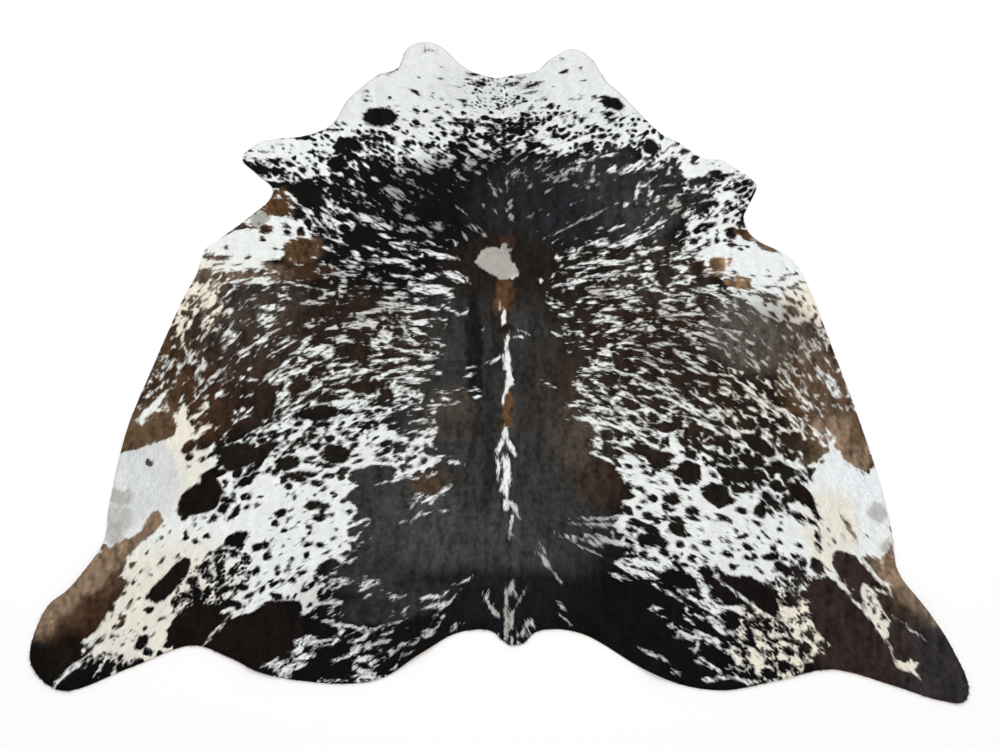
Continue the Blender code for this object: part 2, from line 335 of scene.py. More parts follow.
# Shapes with a free outline: the kind of hair, and the corners. Later ones lie over earlier ones.
coatShapes = {
    "left belly": ("light", (121,453), (148,444), (165,440), (176,430), (168,421), (180,412), (184,402),
        (188,410), (187,420), (196,431), (190,440), (186,446), (180,452), (186,460), (200,468), (205,474),
        (192,486), (181,494), (177,512), (168,530), (150,522), (130,540), (110,548), (106,520)),
    "left belly crest": ("light", (166,392), (162,404), (158,409), (170,411), (152,414), (146,420),
        (142,428), (138,424), (144,413), (154,403), (158,398)),
    "left elbow": ("light", (199,268), (203,247), (215,240), (240,230), (262,229), (267,238), (272,237),
        (275,226), (284,220), (298,221), (306,232), (300,240), (284,240), (284,256), (277,262), (262,268),
        (244,272), (226,270), (208,272)),
    "left elbow stripe": ("dark", (203,256), (212,256), (222,258), (232,261), (222,262), (204,260)),
    "left elbow rim": ("light", (243,224), (252,217), (262,211), (267,214), (266,222), (256,226)),
    "left belly patch": ("dark", (110,456), (126,432), (133,424), (143,427), (150,420), (157,414),
        (166,412), (174,418), (178,427), (175,436), (164,441), (148,446), (133,452), (121,454)),
    "right elbow": ("light", (688,226), (698,221), (716,222), (735,225), (742,240), (762,245), (780,254),
        (795,264), (805,278), (812,292), (806,298), (792,299), (780,296), (765,293), (752,290), (750,280),
        (741,281), (728,276), (716,276), (706,274), (702,258), (696,248), (690,238)),
    "right belly": ("light", (832,452), (842,460), (860,475), (872,469), (880,490), (886,520), (889,548),
        (880,560), (858,553), (838,552), (822,530), (818,500), (811,478), (822,463)),
    "left leg": ("dark", (128,557), (126,568), (121,576), (130,583), (125,591), (118,600), (112,608),
        (104,622), (99,630), (91,636), (82,641), (86,646), (79,655), (76,664), (66,674), (50,690), (20,690),
        (28,600), (95,556), (110,556), (145,536), (140,546)),
    "left leg band": ("dark", (160,512), (164,521), (160,528), (150,538), (138,545), (126,555), (108,560),
        (100,556), (124,541), (140,534), (148,520), (153,512)),
    "left blob": ("dark", (178,515), (180,498), (190,488), (200,482), (203,475), (212,468), (221,468),
        (217,478), (223,488), (221,501), (216,510), (205,514), (192,516), (183,520)),
    "left flank blob": ("dark", (219,461), (224,450), (232,443), (246,444), (258,449), (272,444), (278,446),
        (270,456), (256,463), (242,470), (228,472)),
    "left long blob": ("dark", (149,595), (151,603), (158,605), (166,600), (172,595), (180,586), (188,577),
        (191,566), (190,559), (183,558), (175,565), (168,574), (160,582), (152,589)),
    "left rim blob": ("dark", (167,640), (168,631), (172,622), (180,612), (192,606), (205,604), (215,606),
        (221,612), (228,617), (224,626), (215,636), (207,641), (200,648), (176,652)),
    "left great blob": ("dark", (227,621), (240,616), (252,612), (262,606), (278,603), (290,600), (301,602),
        (303,608), (302,616), (306,624), (300,636), (297,646), (290,654), (282,657), (268,662), (258,672),
        (238,666), (218,652), (213,640), (220,632)),
    "left rump": ("dark", (300,614), (312,620), (321,619), (329,627), (341,630), (354,632), (340,640),
        (324,640), (314,634), (304,640), (299,632)),
    "left rump rim": ("dark", (300,690), (291,678), (303,668), (313,660), (304,654), (311,650), (322,646),
        (330,645), (344,650), (350,654), (352,664), (350,674), (356,682), (345,690)),
    "inner rump": ("dark", (330,598), (334,590), (346,584), (362,589), (378,584), (381,575), (385,600),
        (395,625), (372,629), (362,633), (345,625), (340,614), (342,603)),
    "saddle": ("dark", (348,481), (351,472), (362,468), (372,466), (392,466), (398,470), (392,481),
        (415,480), (430,477), (455,470), (465,520), (455,598), (400,598), (372,578), (336,577), (338,567),
        (344,562), (352,552), (362,544), (371,540), (364,532), (371,520), (357,517), (358,509), (344,499),
        (351,492), (358,487)),
    "back": ("dark", (462,236), (448,262), (452,290), (470,300), (468,322), (446,335), (441,346), (448,354),
        (436,362), (437,376), (432,392), (438,404), (434,418), (438,432), (438,448), (447,456), (458,464),
        (448,471), (432,477), (440,590), (560,590), (568,548), (556,541), (572,534), (580,526), (581,517),
        (624,516), (621,501), (632,500), (630,491), (624,481), (617,473), (611,465), (602,460), (593,454),
        (590,440), (584,430), (576,418), (581,410), (569,404), (579,397), (570,388), (576,380), (578,370),
        (590,361), (578,351), (564,344), (553,334), (545,310), (550,286), (558,262), (552,240)),
    "right rump": ("dark", (556,545), (576,542), (590,548), (600,550), (614,543), (628,551), (624,558),
        (614,563), (620,573), (636,578), (650,579), (658,573), (676,571), (688,573), (696,580), (700,600),
        (682,612), (690,632), (692,655), (700,690), (640,690), (540,640)),
    "right flank blob": ("dark", (622,449), (632,444), (642,443), (652,448), (664,452), (671,459),
        (671,467), (660,471), (650,466), (644,458), (634,455)),
    "right wide blob": ("dark", (663,471), (674,470), (681,462), (694,460), (700,467), (701,480), (697,486),
        (685,485), (678,479)),
    "right upper blob": ("dark", (738,431), (749,432), (758,438), (767,443), (774,449), (776,457),
        (768,459), (759,457), (750,450), (742,442)),
    "right middle blob": ("dark", (717,471), (730,467), (743,468), (752,470), (763,478), (762,483),
        (750,485), (735,485), (722,479)),
    "right lower blob": ("dark", (699,490), (709,484), (719,484), (728,488), (729,496), (737,501),
        (728,507), (719,510), (708,502), (702,496)),
    "right plum blob": ("dark", (784,484), (795,482), (805,488), (812,495), (814,504), (819,513), (810,510),
        (800,505), (790,497)),
    "right belly band": ("dark", (833,430), (841,416), (868,408), (868,448), (876,464), (870,470),
        (868,475), (859,471), (850,466), (843,459), (839,452), (833,447), (836,440)),
    "right fawn blob": ("dark", (800,441), (811,439), (820,444), (826,452), (820,458), (816,464), (808,460),
        (800,452)),
    "shoulder cell": ("dark", (697,568), (705,566), (712,572), (715,580), (722,588), (712,588), (703,582),
        (699,576)),
    "right great blob": ("dark", (720,574), (735,577), (749,576), (761,583), (771,591), (777,600),
        (779,611), (775,619), (765,613), (752,606), (745,600), (736,591), (729,587), (722,581)),
    "right small blob": ("dark", (711,588), (721,585), (732,590), (739,597), (741,604), (731,607),
        (722,605), (718,598)),
    "right cell": ("dark", (718,613), (728,611), (738,617), (741,624), (737,631), (730,632), (722,622)),
    "right low cell": ("dark", (692,622), (700,619), (708,622), (714,630), (712,636), (704,636), (696,630)),
    "right rump rim": ("dark", (700,645), (710,642), (722,651), (733,659), (729,668), (720,676), (704,684),
        (690,672), (694,655)),
    "right thigh blob": ("dark", (832,553), (838,551), (846,553), (854,556), (861,563), (868,570),
        (874,580), (872,587), (863,582), (861,589), (856,593), (848,588), (842,580), (836,575), (831,563)),
    "right thigh": ("dark", (806,590), (810,583), (818,579), (826,576), (835,583), (843,591), (852,601),
        (861,611), (868,621), (877,633), (885,643), (890,655), (896,664), (905,675), (915,700), (800,700),
        (803,664), (812,662), (822,655), (826,648), (830,645), (821,639), (815,631), (811,622), (807,610),
        (812,606), (806,599)),
    "right leg": ("dark", (861,557), (868,557), (880,564), (893,567), (905,577), (990,640), (990,720),
        (905,700), (890,652), (884,638), (887,624), (880,612), (874,600), (872,592), (880,590), (891,594),
        (880,583), (868,566)),
    "right milk wedge": ("light", (859,590), (864,584), (869,588), (874,593), (879,604), (884,614),
        (889,622), (886,629), (888,636), (885,640), (877,632), (870,621), (865,609)),
    "right star": ("light", (891,660), (896,663), (899,660), (904,664), (910,659), (912,663), (918,664),
        (914,668), (914,672), (921,680), (910,673), (903,671), (896,667)),
    "dorsal patch": ("light", (474,263), (478,257), (484,250), (492,248), (499,250), (502,245), (506,244),
        (508,250), (512,249), (509,254), (511,262), (518,270), (518,277), (513,280), (502,281), (498,279),
        (492,275), (485,272), (480,268)),
}

# Patches, flecks and streaks, (across, down, long, wide, turn): a mark's middle, its two lengths, and how
# far its long side is turned up to the right, in degrees. A mark with no turn lies along the hair. Later
# groups lie over earlier ones. Light marks fall into strokes where they are broad, and solid ones are light
# and stay whole.
coatMarks = {}
coatMarks["neck spots"] = ("dark", [
    (380,118,36,20,0), (396,129,9,5,0), (393,72,9,3,30), (425,50,5,2,90), (429,51,2,2), (432,52,2,2),
    (415,93,11,4,-30), (440,79.5,4,2), (419,79.5,2,2), (367,92,3,2), (367,97,3,2), (366,101,5,3),
    (390,99,3,4), (389,108,3,2), (432,98,3,2), (441,100,3,2), (451,107,4,2), (464,102,7,3), (465,106,7,3),
    (437,109,4,2), (484,107,3,2), (493,91,3,2), (493,100,3,2), (498,105,4,2), (514,106,7,4),
    (480,85,14,6,0), (472,76,12,4,-10), (415,111,7,4), (418,115,3,2), (416,124,9,7,-45), (423,127,4,3),
    (435,122,6,4), (443,129.5,6,4), (444,136,8,5,-45), (455,135,9,6), (456,126,8,6), (448,114,8,2,-30),
    (455,120,8,3), (471,127,12,7), (490,126,12,5,0), (373,132,7,5), (384,134,6,4), (368,132,3,2),
    (364,137,7,4), (370,140,4,3), (404,134.5,5,3), (414,137,4,3), (421,143,5,3), (395,138,4,3),
    (382,143,3,3), (391,143,3,3), (408,144,9,7), (433,147,7,4), (520,80,9,3,20), (512,85,18,4,0),
    (531,87,20,4,15), (562,60,3,2), (564,73,8,4,20), (581,69,3,2), (581,97,4,2), (595,98,6,3),
    (580,100,3,2), (572,101,4,2), (545,100,5,3), (550,107,9,5,20), (532,107,4,3), (530,111,4,2),
    (524,116,6,3), (534,114,3,2), (562,118,4,3), (549,118,3,2), (576,119,7,4), (581,122,6,6), (584,118,3,2),
    (571,127,7,4), (612,104,27,12,-22), (608,115,13,6,-10), (612,121,12,5), (622,120,8,3), (634,124,5,3),
    (616,126,4,3), (593,131,10,5,30), (601,138,12,6,10), (611,135,6,4), (617,137,9,5), (629,134,5,3),
    (642,135,12,3), (631,143,6,4), (650,148,18,15,-40), (555,137,10,6), (566,137,10,6), (551,130,10,5),
    (511,130,12,5,0), (532,126,14,5,20), (588,149,16,12,-40), (608,148,12,8), (640,145,10,6),
])
coatMarks["dark left shoulder"] = ("dark", [
    (272,148,4,2), (284,149,2,2), (291,150,2,2), (249,152,9,3,10), (246,158,3,2), (255,160,5,2),
    (275,162,16,7,0), (260,170,22,11,-20), (290,165,10,6), (298,164,5,3), (281,171,6,3), (287,173,5,2),
    (303,171,9,6), (317,173,7,6), (289,177,5,4), (297,176,8,4), (313,152,6,5), (318,152,4,4),
    (321,160,8,7,-45), (307,159,3,3), (310,163,3,2), (316,167,4,3), (324,153,4,3), (330,156,5,3),
    (328,146,4,3), (315,146,5,3), (332,142,8,3,-40), (335,131,10,3,0), (344,124,5,3), (352,146,24,13,-20),
    (338,165,22,17,0), (310,196,42,26,-20), (275,184,12,4,0), (281,180,6,3), (299,215,17,12,-20),
    (286,227,9,5), (288,234,9,5), (301,233,11,9), (245,227,12,3,10), (266,230,14,9,0), (263,240,6,5),
    (279,207,22,18,30), (375,175,40,26,-30), (320,222,20,12,-30),
])
coatMarks["light left shoulder"] = ("light", [
    (289,195,9,6,-45), (294,200,16,4,-50), (307,213,16,3,-45), (319,224,18,3,-45), (279,197,5,4),
    (260,218,15,11,20), (330,204,17,4,-42), (338,210,14,3,-42), (327,212,12,3,-42), (330,183,8,4,-60),
    (352,183,7,4), (366,150,11,4,-40), (366,166,8,4,-60), (356,166,10,4,-70), (427,165,20,9,-10),
    (447,163,9,5), (470,165,14,9,20), (478,174,7,4), (485,168,6,4), (484,158,12,3,24), (497,152,10,3,35),
    (509,147,9,3,20), (462,180,11,3,-35), (490,185,6,3), (494,193,10,4,-60), (507,185,14,2.5,88),
    (515,174,10,6,60), (511,207,10,2.5,88), (511,218,14,4,-60), (495,213,6,2,-45), (449,193,4,3),
    (412,183,10,5,-30), (395,194,22,11,-32), (375,180,8,5), (398,209,9,6), (365,220,25,4,-20),
    (380,228,20,5,-15), (408,229,16,3,-25), (402,231,6,4), (424,231,14,4,-25), (437,229,12,4,-20),
    (474,229,12,5,-30), (484,236,6,4), (465,238,8,4), (436,152,14,6,0), (408,156,12,6,-30), (399,146,12,5),
])
coatMarks["right shoulder"] = ("light", [
    (609,156,18,4,15), (592,160,8,3,35), (612,170,11,9,30), (633,168,32,8,22), (637,193,18,4,82),
    (626,206,6,4,40), (651,190,16,5,80), (656,166,13,6,60), (556,181,9,6), (564,175,10,7), (577,170,5,4),
    (548,192,7,3,35), (592,175,11,3,70), (594,182,4,3), (588,188,4,3), (530,187,4,3), (526,181,4,2),
    (530,217,9,3,30), (562,231,22,2,27), (589,218,28,3,26), (633,237,26,5,25), (656,226,18,5,30),
    (661,226,8,7), (687,214,14,6,32), (675,207,14,13,0), (657,200,8,6), (702,196,20,5,30),
    (693,220,12,9,30),
])
coatMarks["right foreleg"] = ("dark", [
    (683,153,8,6), (663,154,3,2), (667,150,3,2), (663,163,5,5), (678,167,8,4,60), (665,186,31,22,10),
    (700,182,29,9,5), (715,175,17,8,0), (713,190,10,6), (725,190,5,5), (745,183,5,5), (746,197,8,6),
    (736,188,6,4), (700,203,32,17,8), (716,206,7,5), (727,203,5,4), (736,208,5,4), (742,203,5,5),
    (727,213,7,4), (706,227,23,7,10), (697,231,10,8,40), (705,232,8,4,30), (717,242,6,6), (724,241,4,4),
    (708,241,5,4), (707,246,8,4,30), (694,243,10,6,20), (697,251,12,5,25), (699,239,5,3), (717,232,3,3),
    (716,236,3,3), (725,222,8,5), (737,216,8,4), (743,218,26,7,88), (731,234,14,13,-20), (744,235,18,9,-35),
    (731,245,11,6,-20), (739,248,6,4), (741,249,5,3,90), (747,248,4,3), (717,265,18,16,0), (729,263,9,4,80),
    (716,276,16,5,0), (740,279,14,5,-8), (734,274,7,3), (741,286,25,9,-15), (700,268,12,26,90),
])
coatMarks["foreleg lines"] = ("light", [
    (669,186,14,2,10), (722,196,40,3,20), (735,178,26,3,14), (738,203,3,12,0), (717,185,16,3,25),
    (716,214,16,3,24), (690,226,12,4,60), (710,219,20,3,30), (731,185,4,9,0),
])
coatMarks["left flank"] = ("light", [
    (330,222,22,9,-40), (352,224,8,4), (370,219,25,6,-12), (385,227,17,8,-15), (340,243,15,4,-25),
    (328,250,14,4,-15), (385,237,10,4), (371,250,14,3), (398,247,16,6), (357,257,14,7,-60), (352,264,18,5),
    (410,245,12,2), (437,255,40,4,-12), (388,262,40,6,0), (408,267,16,6,-20), (345,275,30,5,0),
    (343,288,20,9,80), (375,281,10,4), (390,288,14,4), (408,278,12,4), (430,278,20,6,15),
    (457,278,26,9,-22), (430,290,46,11,-5), (400,296,16,8), (450,297,9,5), (392,305,30,6,0),
    (413,310,30,6,5), (452,312,16,3,-25), (465,314,8,4), (378,311,40,5,12), (360,326,30,6,20),
    (422,324,16,4,5), (203,291,22,4,55), (222,272,36,3,14), (207,296,18,4,60), (233,283,36,3,8),
    (229,294,10,3,35), (262,282,28,6,5), (208,303,12,8,60), (207,322,14,10,60), (268,319,18,8,-20),
    (229,314,13,7,40), (288,299,8,3), (312,304,20,4,0), (304,287,28,2,-14), (196,312,14,5,62),
    (190,326,14,6,66), (214,313,8,5,50),
])
coatMarks["left elbow spots"] = ("dark", [
    (226,249,4,4), (263,240,6,6), (275,250,5,3), (207,251,3,2), (208,257,10,4,20), (224,259,16,4,8),
    (219,265,10,2,8), (205,277,20,12,45), (280,266,36,12,0), (302,250,36,22,0), (300,273,30,10,0),
    (250,271,12,3,5), (236,266,9,2,5), (248,259,6,3),
])
coatMarks["right flank"] = ("light", [
    (636,240,40,4,25), (615,247,16,3,8), (630,241,26,4,25), (645,236,8,4,20), (641,252,13,10,-40),
    (604,244,9,4), (603,254,9,4), (606,264,22,5,5), (621,262,20,3,0), (648,266,11,10,-20), (633,268,12,3),
    (656,250,17,4,12), (655,242,5,3), (684,257,28,6,12), (691,249,13,7,10), (680,268,18,4,0), (682,272,7,6),
    (678,276,10,2,45), (690,278,15,3,3), (680,284,17,4,-3), (671,285,10,3,40), (615,273,9,3),
    (607,277,12,3), (642,276,24,3,-4), (645,283,6,4), (612,290,14,5,20), (616,294,20,5,5), (606,293,9,6),
    (625,294,20,7,-10), (630,288,8,5), (655,291,16,3,-10), (668,296,16,3,-25), (685,297,24,6,0),
    (628,298,14,5), (634,302,10,4), (627,308,13,5,-20), (612,310,10,3), (638,311,8,3), (668,308,19,5,-20),
    (665,315,17,6,-14), (688,315,26,4,0), (675,320,22,2,-5), (690,306,10,5), (700,313,12,3),
    (703,325,13,4,-25), (606,319,19,6,-15), (617,324,15,5,-20), (640,322,10,4), (646,326,22,2,5),
    (725,319,12,5,-38), (640,330,20,2,8), (712,289,13,7,-35), (706,266,16,6,88), (710,291,22,3,-10),
    (716,297,32,3,-20), (728,301,17,2,-35), (742,297,32,4,-14), (700,292,15,2,-5), (724,306,14,2,-45),
    (735,309,11,2,-45), (716,311,12,2,-35), (740,318,15,2,-45), (575,251,12,5,5), (573,257,14,5),
    (557,259,6,4), (562,267,5,3), (587,265,37,5,14), (606,263,28,4,-10), (600,245,8,4), (612,247,18,4,0),
    (590,269,12,3), (540,282,6,4), (558,287,12,3), (577,282,24,6,15), (605,276,25,4,5), (572,289,6,4),
    (598,292,26,9,-12), (580,302,7,4,20), (592,303,10,4), (608,310,12,3), (606,318,24,5,-10), (556,308,6,3),
])
coatMarks["right elbow spots"] = ("dark", [
    (766,247,28,8,-24), (870,597,4,4), (876,606,4,3), (873,613,5,4), (880,619,4,3), (878,627,4,3),
    (868,605,3,3), (774,249,6,3,-35), (768,271,3,2), (768,277,5,2,0), (781,281,8,3,20), (770,288,12,3,0),
    (783,290,8,4), (784,277,6,2,20), (794,275,9,3,5), (789,276,6,2,15), (786,271,4,1.5), (801,283,8,2,0),
    (795,286,7,3,25), (791,289,7,3,-15), (799,290,11,2,-25), (794,293,6,2), (752,277,4,2),
    (755,295,20,3,-14), (768,297,25,6,-18), (773,302,12,4,-25), (790,301,14,5,-28), (799,305,7,5,-45),
    (792,312,16,10,-38), (803,300,6,3,-50), (785,319,9,5,-42), (774,317,10,3,-40), (803,316,7,4,-60),
    (815,318,8,4,60), (812,321,6,4), (808,333,24,18,-60), (822,325,8,3,88), (822,336,8,5,-60),
    (808,309,6,2,-55), (813,308,6,2,-60), (786,296,6,2), (820,345,12,10,-65),
])
coatMarks["left side"] = ("light", [
    (208,324,16,12,50), (188,325,14,6,88), (183,338,16,3,80), (186,350,14,3,-72), (188,356,6,5),
    (205,336,14,3,52), (193,357,18,5,46), (183,366,14,3,55), (178,375,9,3,60), (171,366,15,6,46),
    (167,362,9,2,80), (163,368,6,4,50), (162,376,9,4,66), (195,363,8,4,40), (200,379,6,3,50),
    (202,383,9,4,40), (216,376,24,4,38), (206,388,18,2.5,50), (213,384,12,2,20), (226,336,22,4,55),
    (233,340,19,7,40), (229,345,12,3,40), (246,351,18,4,28), (262,341,18,6,26), (271,335,18,3,30),
    (243,378,7,4), (252,381,14,2.5,0), (275,380,13,12,0), (268,377,10,3,25), (251,411,18,5,38),
    (238,421,26,5,18), (229,426,20,4,25), (232,408,9,2.5), (236,412,10,3,-70), (206,399,6,3),
    (203,407,13,3,60), (207,410,14,2.5,12), (196,417,22,4,28), (150,396,10,5,52), (165,396,9,4,55),
    (203,430,10,6,30), (209,428,8,3,10), (200,436,9,7,40), (268,430,34,5,14), (262,437,32,5,18),
    (280,395,8,8), (285,365,18,4,38), (268,377,18,3,42), (280,379,17,8,8), (293,372,22,3,22),
    (317,386,14,12,30), (309,393,22,5,36), (289,386,12,4,55), (286,390,9,5,80), (285,398,13,9,25),
    (284,405,14,8,10), (297,403,14,3,28), (294,410,36,4,24), (288,420,15,12,0), (276,426,32,5,12),
    (307,424,9,7), (335,378,34,3,8), (358,375,28,3,14), (331,366,12,4), (348,365,14,4,12),
    (340,384,19,4,22), (345,391,28,4,5), (352,395,26,6,5), (345,403,22,5,0), (355,409,30,7,-5),
    (366,404,18,7,0), (350,418,34,6,4), (334,424,15,11,10), (376,421,28,5,14), (395,410,44,6,17),
    (370,398,11,7), (378,396,10,4,80), (385,337,15,13,0), (377,342,9,8), (388,347,12,5), (342,341,25,4,-8),
    (348,336,9,5,30), (355,325,16,5,20), (368,325,9,6), (378,362,17,4,-5), (396,361,24,5,0),
    (394,372,34,5,18), (385,377,16,6), (412,371,22,8,5), (404,379,26,6,0), (398,388,18,7,-10),
    (412,383,28,6,12), (410,392,14,7,-25), (402,400,16,5), (408,352,27,4,2), (412,342,18,4,-18),
    (415,331,12,6,-32), (403,325,13,2,-32), (283,343,15,3,22), (293,343,14,2,26), (307,341,11,5,30),
    (311,327,11,3,-5), (306,349,12,9,0), (317,353,24,10,8), (331,351,20,4,22), (266,323,15,10,-30),
    (425,336,13,2,-20), (422,324,15,4), (437,344,15,3,-15), (425,359,18,3,-6), (427,368,14,4,0),
    (438,374,7,4), (442,393,11,2,-15), (445,399,11,4,-22), (437,406,16,3,3), (453,405,9,2), (458,391,8,1),
    (469,376,9,4,20), (475,391,8,3,12), (477,398,8,3,30), (469,369,9,1.5), (483,331,3,2), (523,333,8,2,-20),
    (519,338,11,3,8), (548,385,13,2,-26), (422,422,15,5,8), (420,433,34,5,3), (430,432,9,8),
    (454,463,13,5,-10), (440,457,12,3,5), (445,490,19,5,42), (430,499,26,5,14), (419,497,12,6),
    (432,503,9,5,60), (426,514,14,2,20), (413,506,7,3,40), (416,517,12,2,45), (443,511,9,2,10),
    (403,523,8,3), (396,481,30,2.5,14),
])
coatMarks["left side holes"] = ("dark", [
    (222,411,36,24), (240,431,40,15), (263,411,28,22), (226,428,22,12), (271,434,13,5,20), (289,434,9,4,20),
    (261,436,9,6), (264,445,11,5,30), (299,425,10,7,10), (312,431,15,5,0), (325,438,14,3,8),
    (345,433,15,5,8), (300,441,15,5,12), (319,441,9,4), (325,445,8,3), (351,440,13,5,0), (355,446,11,6),
    (340,443,9,4), (288,453,13,5,12), (279,453,7,3), (320,414,42,16,5), (300,388,26,13,15),
    (332,383,22,6,3), (337,388,16,5,0), (325,396,18,5,8), (284,410,13,4,25), (295,406,9,3,15),
    (345,413,14,6,0), (321,425,20,6,5), (342,425,8,4), (339,430,9,4), (357,396,12,3), (363,398,7,5),
    (363,412,7,4), (372,418,9,4), (372,405,9,7), (386,397,18,8,0), (386,405,13,6,0), (404,404,16,4,12),
    (384,412,6,3), (397,411,7,3), (389,352,18,8,0), (412,364,18,6,0), (395,376,17,6,4), (390,366,11,4),
    (411,371,9,3), (430,372,9,3), (407,387,11,3), (412,391,7,3), (402,381,10,3), (365,388,40,13,0),
    (355,352,44,14,0), (355,334,26,9,0), (396,335,9,5), (415,357,13,4), (371,424,26,5,6), (390,421,20,7,14),
    (411,436,26,5,3), (386,444,15,7,16), (398,446,21,7,4), (380,455,13,6,14), (384,461,15,4,0),
    (409,459,11,4,5), (407,467,16,5,0), (416,450,9,4), (425,446,8,4), (436,454,9,4), (440,465,12,4),
    (288,464,27,15,12), (277,472,14,7,40), (296,478,24,9,-15), (306,475,22,7,0), (289,487,9,8),
    (285,480,10,8), (336,455,31,20,0), (328,466,20,6,0), (343,472,16,8,32), (356,456,12,3), (358,462,11,4),
    (311,459,13,4,12), (312,463,13,3,-5), (319,465,8,5), (328,477,13,5,25), (321,472,6,2), (317,484,15,7,5),
    (324,490,8,4), (304,485,7,3), (294,494,3,2), (288,495,3,2),
])
coatMarks["left rear spots"] = ("dark", [
    (150,464,7,8), (208,440,30,14,45), (190,448,20,11,40), (190,458,10,8,50), (213,455,14,5,30),
    (204,459,8,4), (190,467,4,3,50), (246,482,22,9,28), (256,475,18,4,14), (265,450,34,10,28),
    (228,501,17,8,-10), (223,494,10,4,40), (249,498,8,5,45), (247,508,8,4,40), (257,506,6,4,40),
    (235,514,19,7,48), (224,513,5,5), (229,507,6,3), (258,497,3,2), (281,514,14,9,25), (276,524,8,7),
    (285,531,7,5), (290,512,6,2,30), (289,520,9,3,40), (295,528,7,2,20), (309,527,7,5), (303,540,5,4),
    (308,545,12,5,10), (321,546,11,6,10), (289,540,4,2), (272,541,6,3,50), (283,547,5,3), (334,539,7,3,32),
    (337,530,4,3), (350,524,7,4), (350,513,9,5,12), (353,535,11,6,20), (350,543,5,2), (331,516,8,4),
    (328,568,26,15,28), (313,506,19,9,12), (324,508,13,9,30), (320,518,15,9,5), (196,526,5,4,55),
    (186,534,5,4,55), (196,542,7,6,40), (162,538,5,3,60), (170,532,6,3,55), (166,527,4,2), (148,554,5,3,50),
    (162,562,9,4,50), (178,557,5,3,60), (133,566,9,6,50), (142,572,5,3,45), (151,575,3,3), (134,584,6,4,55),
    (131,604,10,4,62), (139,600,5,3), (113,608,9,6,70), (120,615,3,2), (113,617,4,2), (125,617,5,5),
    (117,628,9,5,20), (122,625,8,5,45), (113,637,6,4,50), (119,636,4,3), (145,629,6,5), (142,644,19,10,42),
    (145,639,12,7,10), (151,611,8,5,50), (161,620,8,4,45), (167,619,4,3), (176,606,8,4,40), (174,613,4,3),
    (101,641,13,5,42), (91,651,12,5,52), (123,645,4,3,60), (105,653,3,3), (110,655,5,3), (122,658,9,6,35),
    (108,665,13,7,55), (119,667,8,5,50), (130,667,8,4,30), (84,667,9,6), (125,594,5,3), (237,540,27,14,27),
    (219,552,12,7,42), (218,560,10,6), (233,552,8,5), (206,565,13,8,32), (198,568,5,5), (207,575,11,8,50),
    (258,548,13,8,28), (267,557,10,7,45), (270,551,5,3), (232,574,8,5), (237,568,5,3), (250,574,5,4),
    (259,573,5,3), (242,588,14,8,-5), (226,590,20,7,8), (208,591,11,7), (193,581,12,8,40), (194,591,8,5,50),
    (196,600,16,6,42), (232,604,8,7), (247,597,7,4,60), (244,607,6,3), (219,609,9,5), (327,553,8,3),
    (289,566,5,3), (288,571,9,4), (290,575,5,2), (275,585,11,5), (283,583,7,4), (293,581,9,6,25),
    (302,574,11,5,25), (278,598,13,8,5), (288,597,4,2), (312,585,9,6), (305,590,9,5,25), (310,606,7,4,30),
    (324,599,13,7,15), (327,581,11,5,20), (328,609,14,6,15), (337,613,11,6,30), (345,555,10,6,20),
    (308,652,13,4,12), (303,662,10,4,20),
])
coatMarks["left rear lines"] = ("light", [
    (216,632,36,3,49), (72,670,34,7,40), (58,683,14,3,50), (305,641,22,10,22), (318,643,26,5,12),
    (300,650,16,8,70), (304,657,24,7,8), (276,664,26,7,12), (290,668,32,9,14), (285,675,18,5,10),
    (350,562,20,3,24), (340,581,22,5,0), (347,584,9,4), (369,584,20,8,12), (362,590,13,3,22),
    (340,587,12,3), (368,597,9,3), (394,597,13,3,0), (403,598,12,2), (425,598,15,4,14), (436,598,14,4,5),
    (446,594,9,2,35), (434,606,24,4,20), (441,607,11,7,20), (450,603,13,2,42), (437,614,13,2,50),
    (443,618,9,3,60), (454,628,11,5,50), (428,634,15,8,26), (438,626,13,2,58), (418,641,9,3,48),
    (413,644,13,3,20), (403,645,9,5), (378,643,28,5,14), (368,648,13,4), (392,655,11,4,45),
    (398,650,11,2,45), (409,654,11,2,25), (332,603,22,5,6), (331,612,12,3,48), (335,624,28,6,-15),
    (352,627,24,4,-12), (363,630,9,6), (375,629,22,3,14), (392,624,18,2,14), (405,612,9,4,60),
    (365,637,13,6,45), (358,646,14,6,52), (354,652,12,7), (338,660,15,3,22), (352,655,18,5,22),
    (342,632,9,4,48), (335,637,15,2,28), (367,659,18,6,0), (374,664,11,7), (365,672,20,6,-8),
    (355,668,9,6,60), (368,677,26,4,0), (463,582,14,3,30), (340,681,40,2,0),
])
coatMarks["left rear holes"] = ("dark", [
    (362,665,11,5,0), (368,661,6,2), (367,652,16,5,10), (353,640,12,4,40),
])
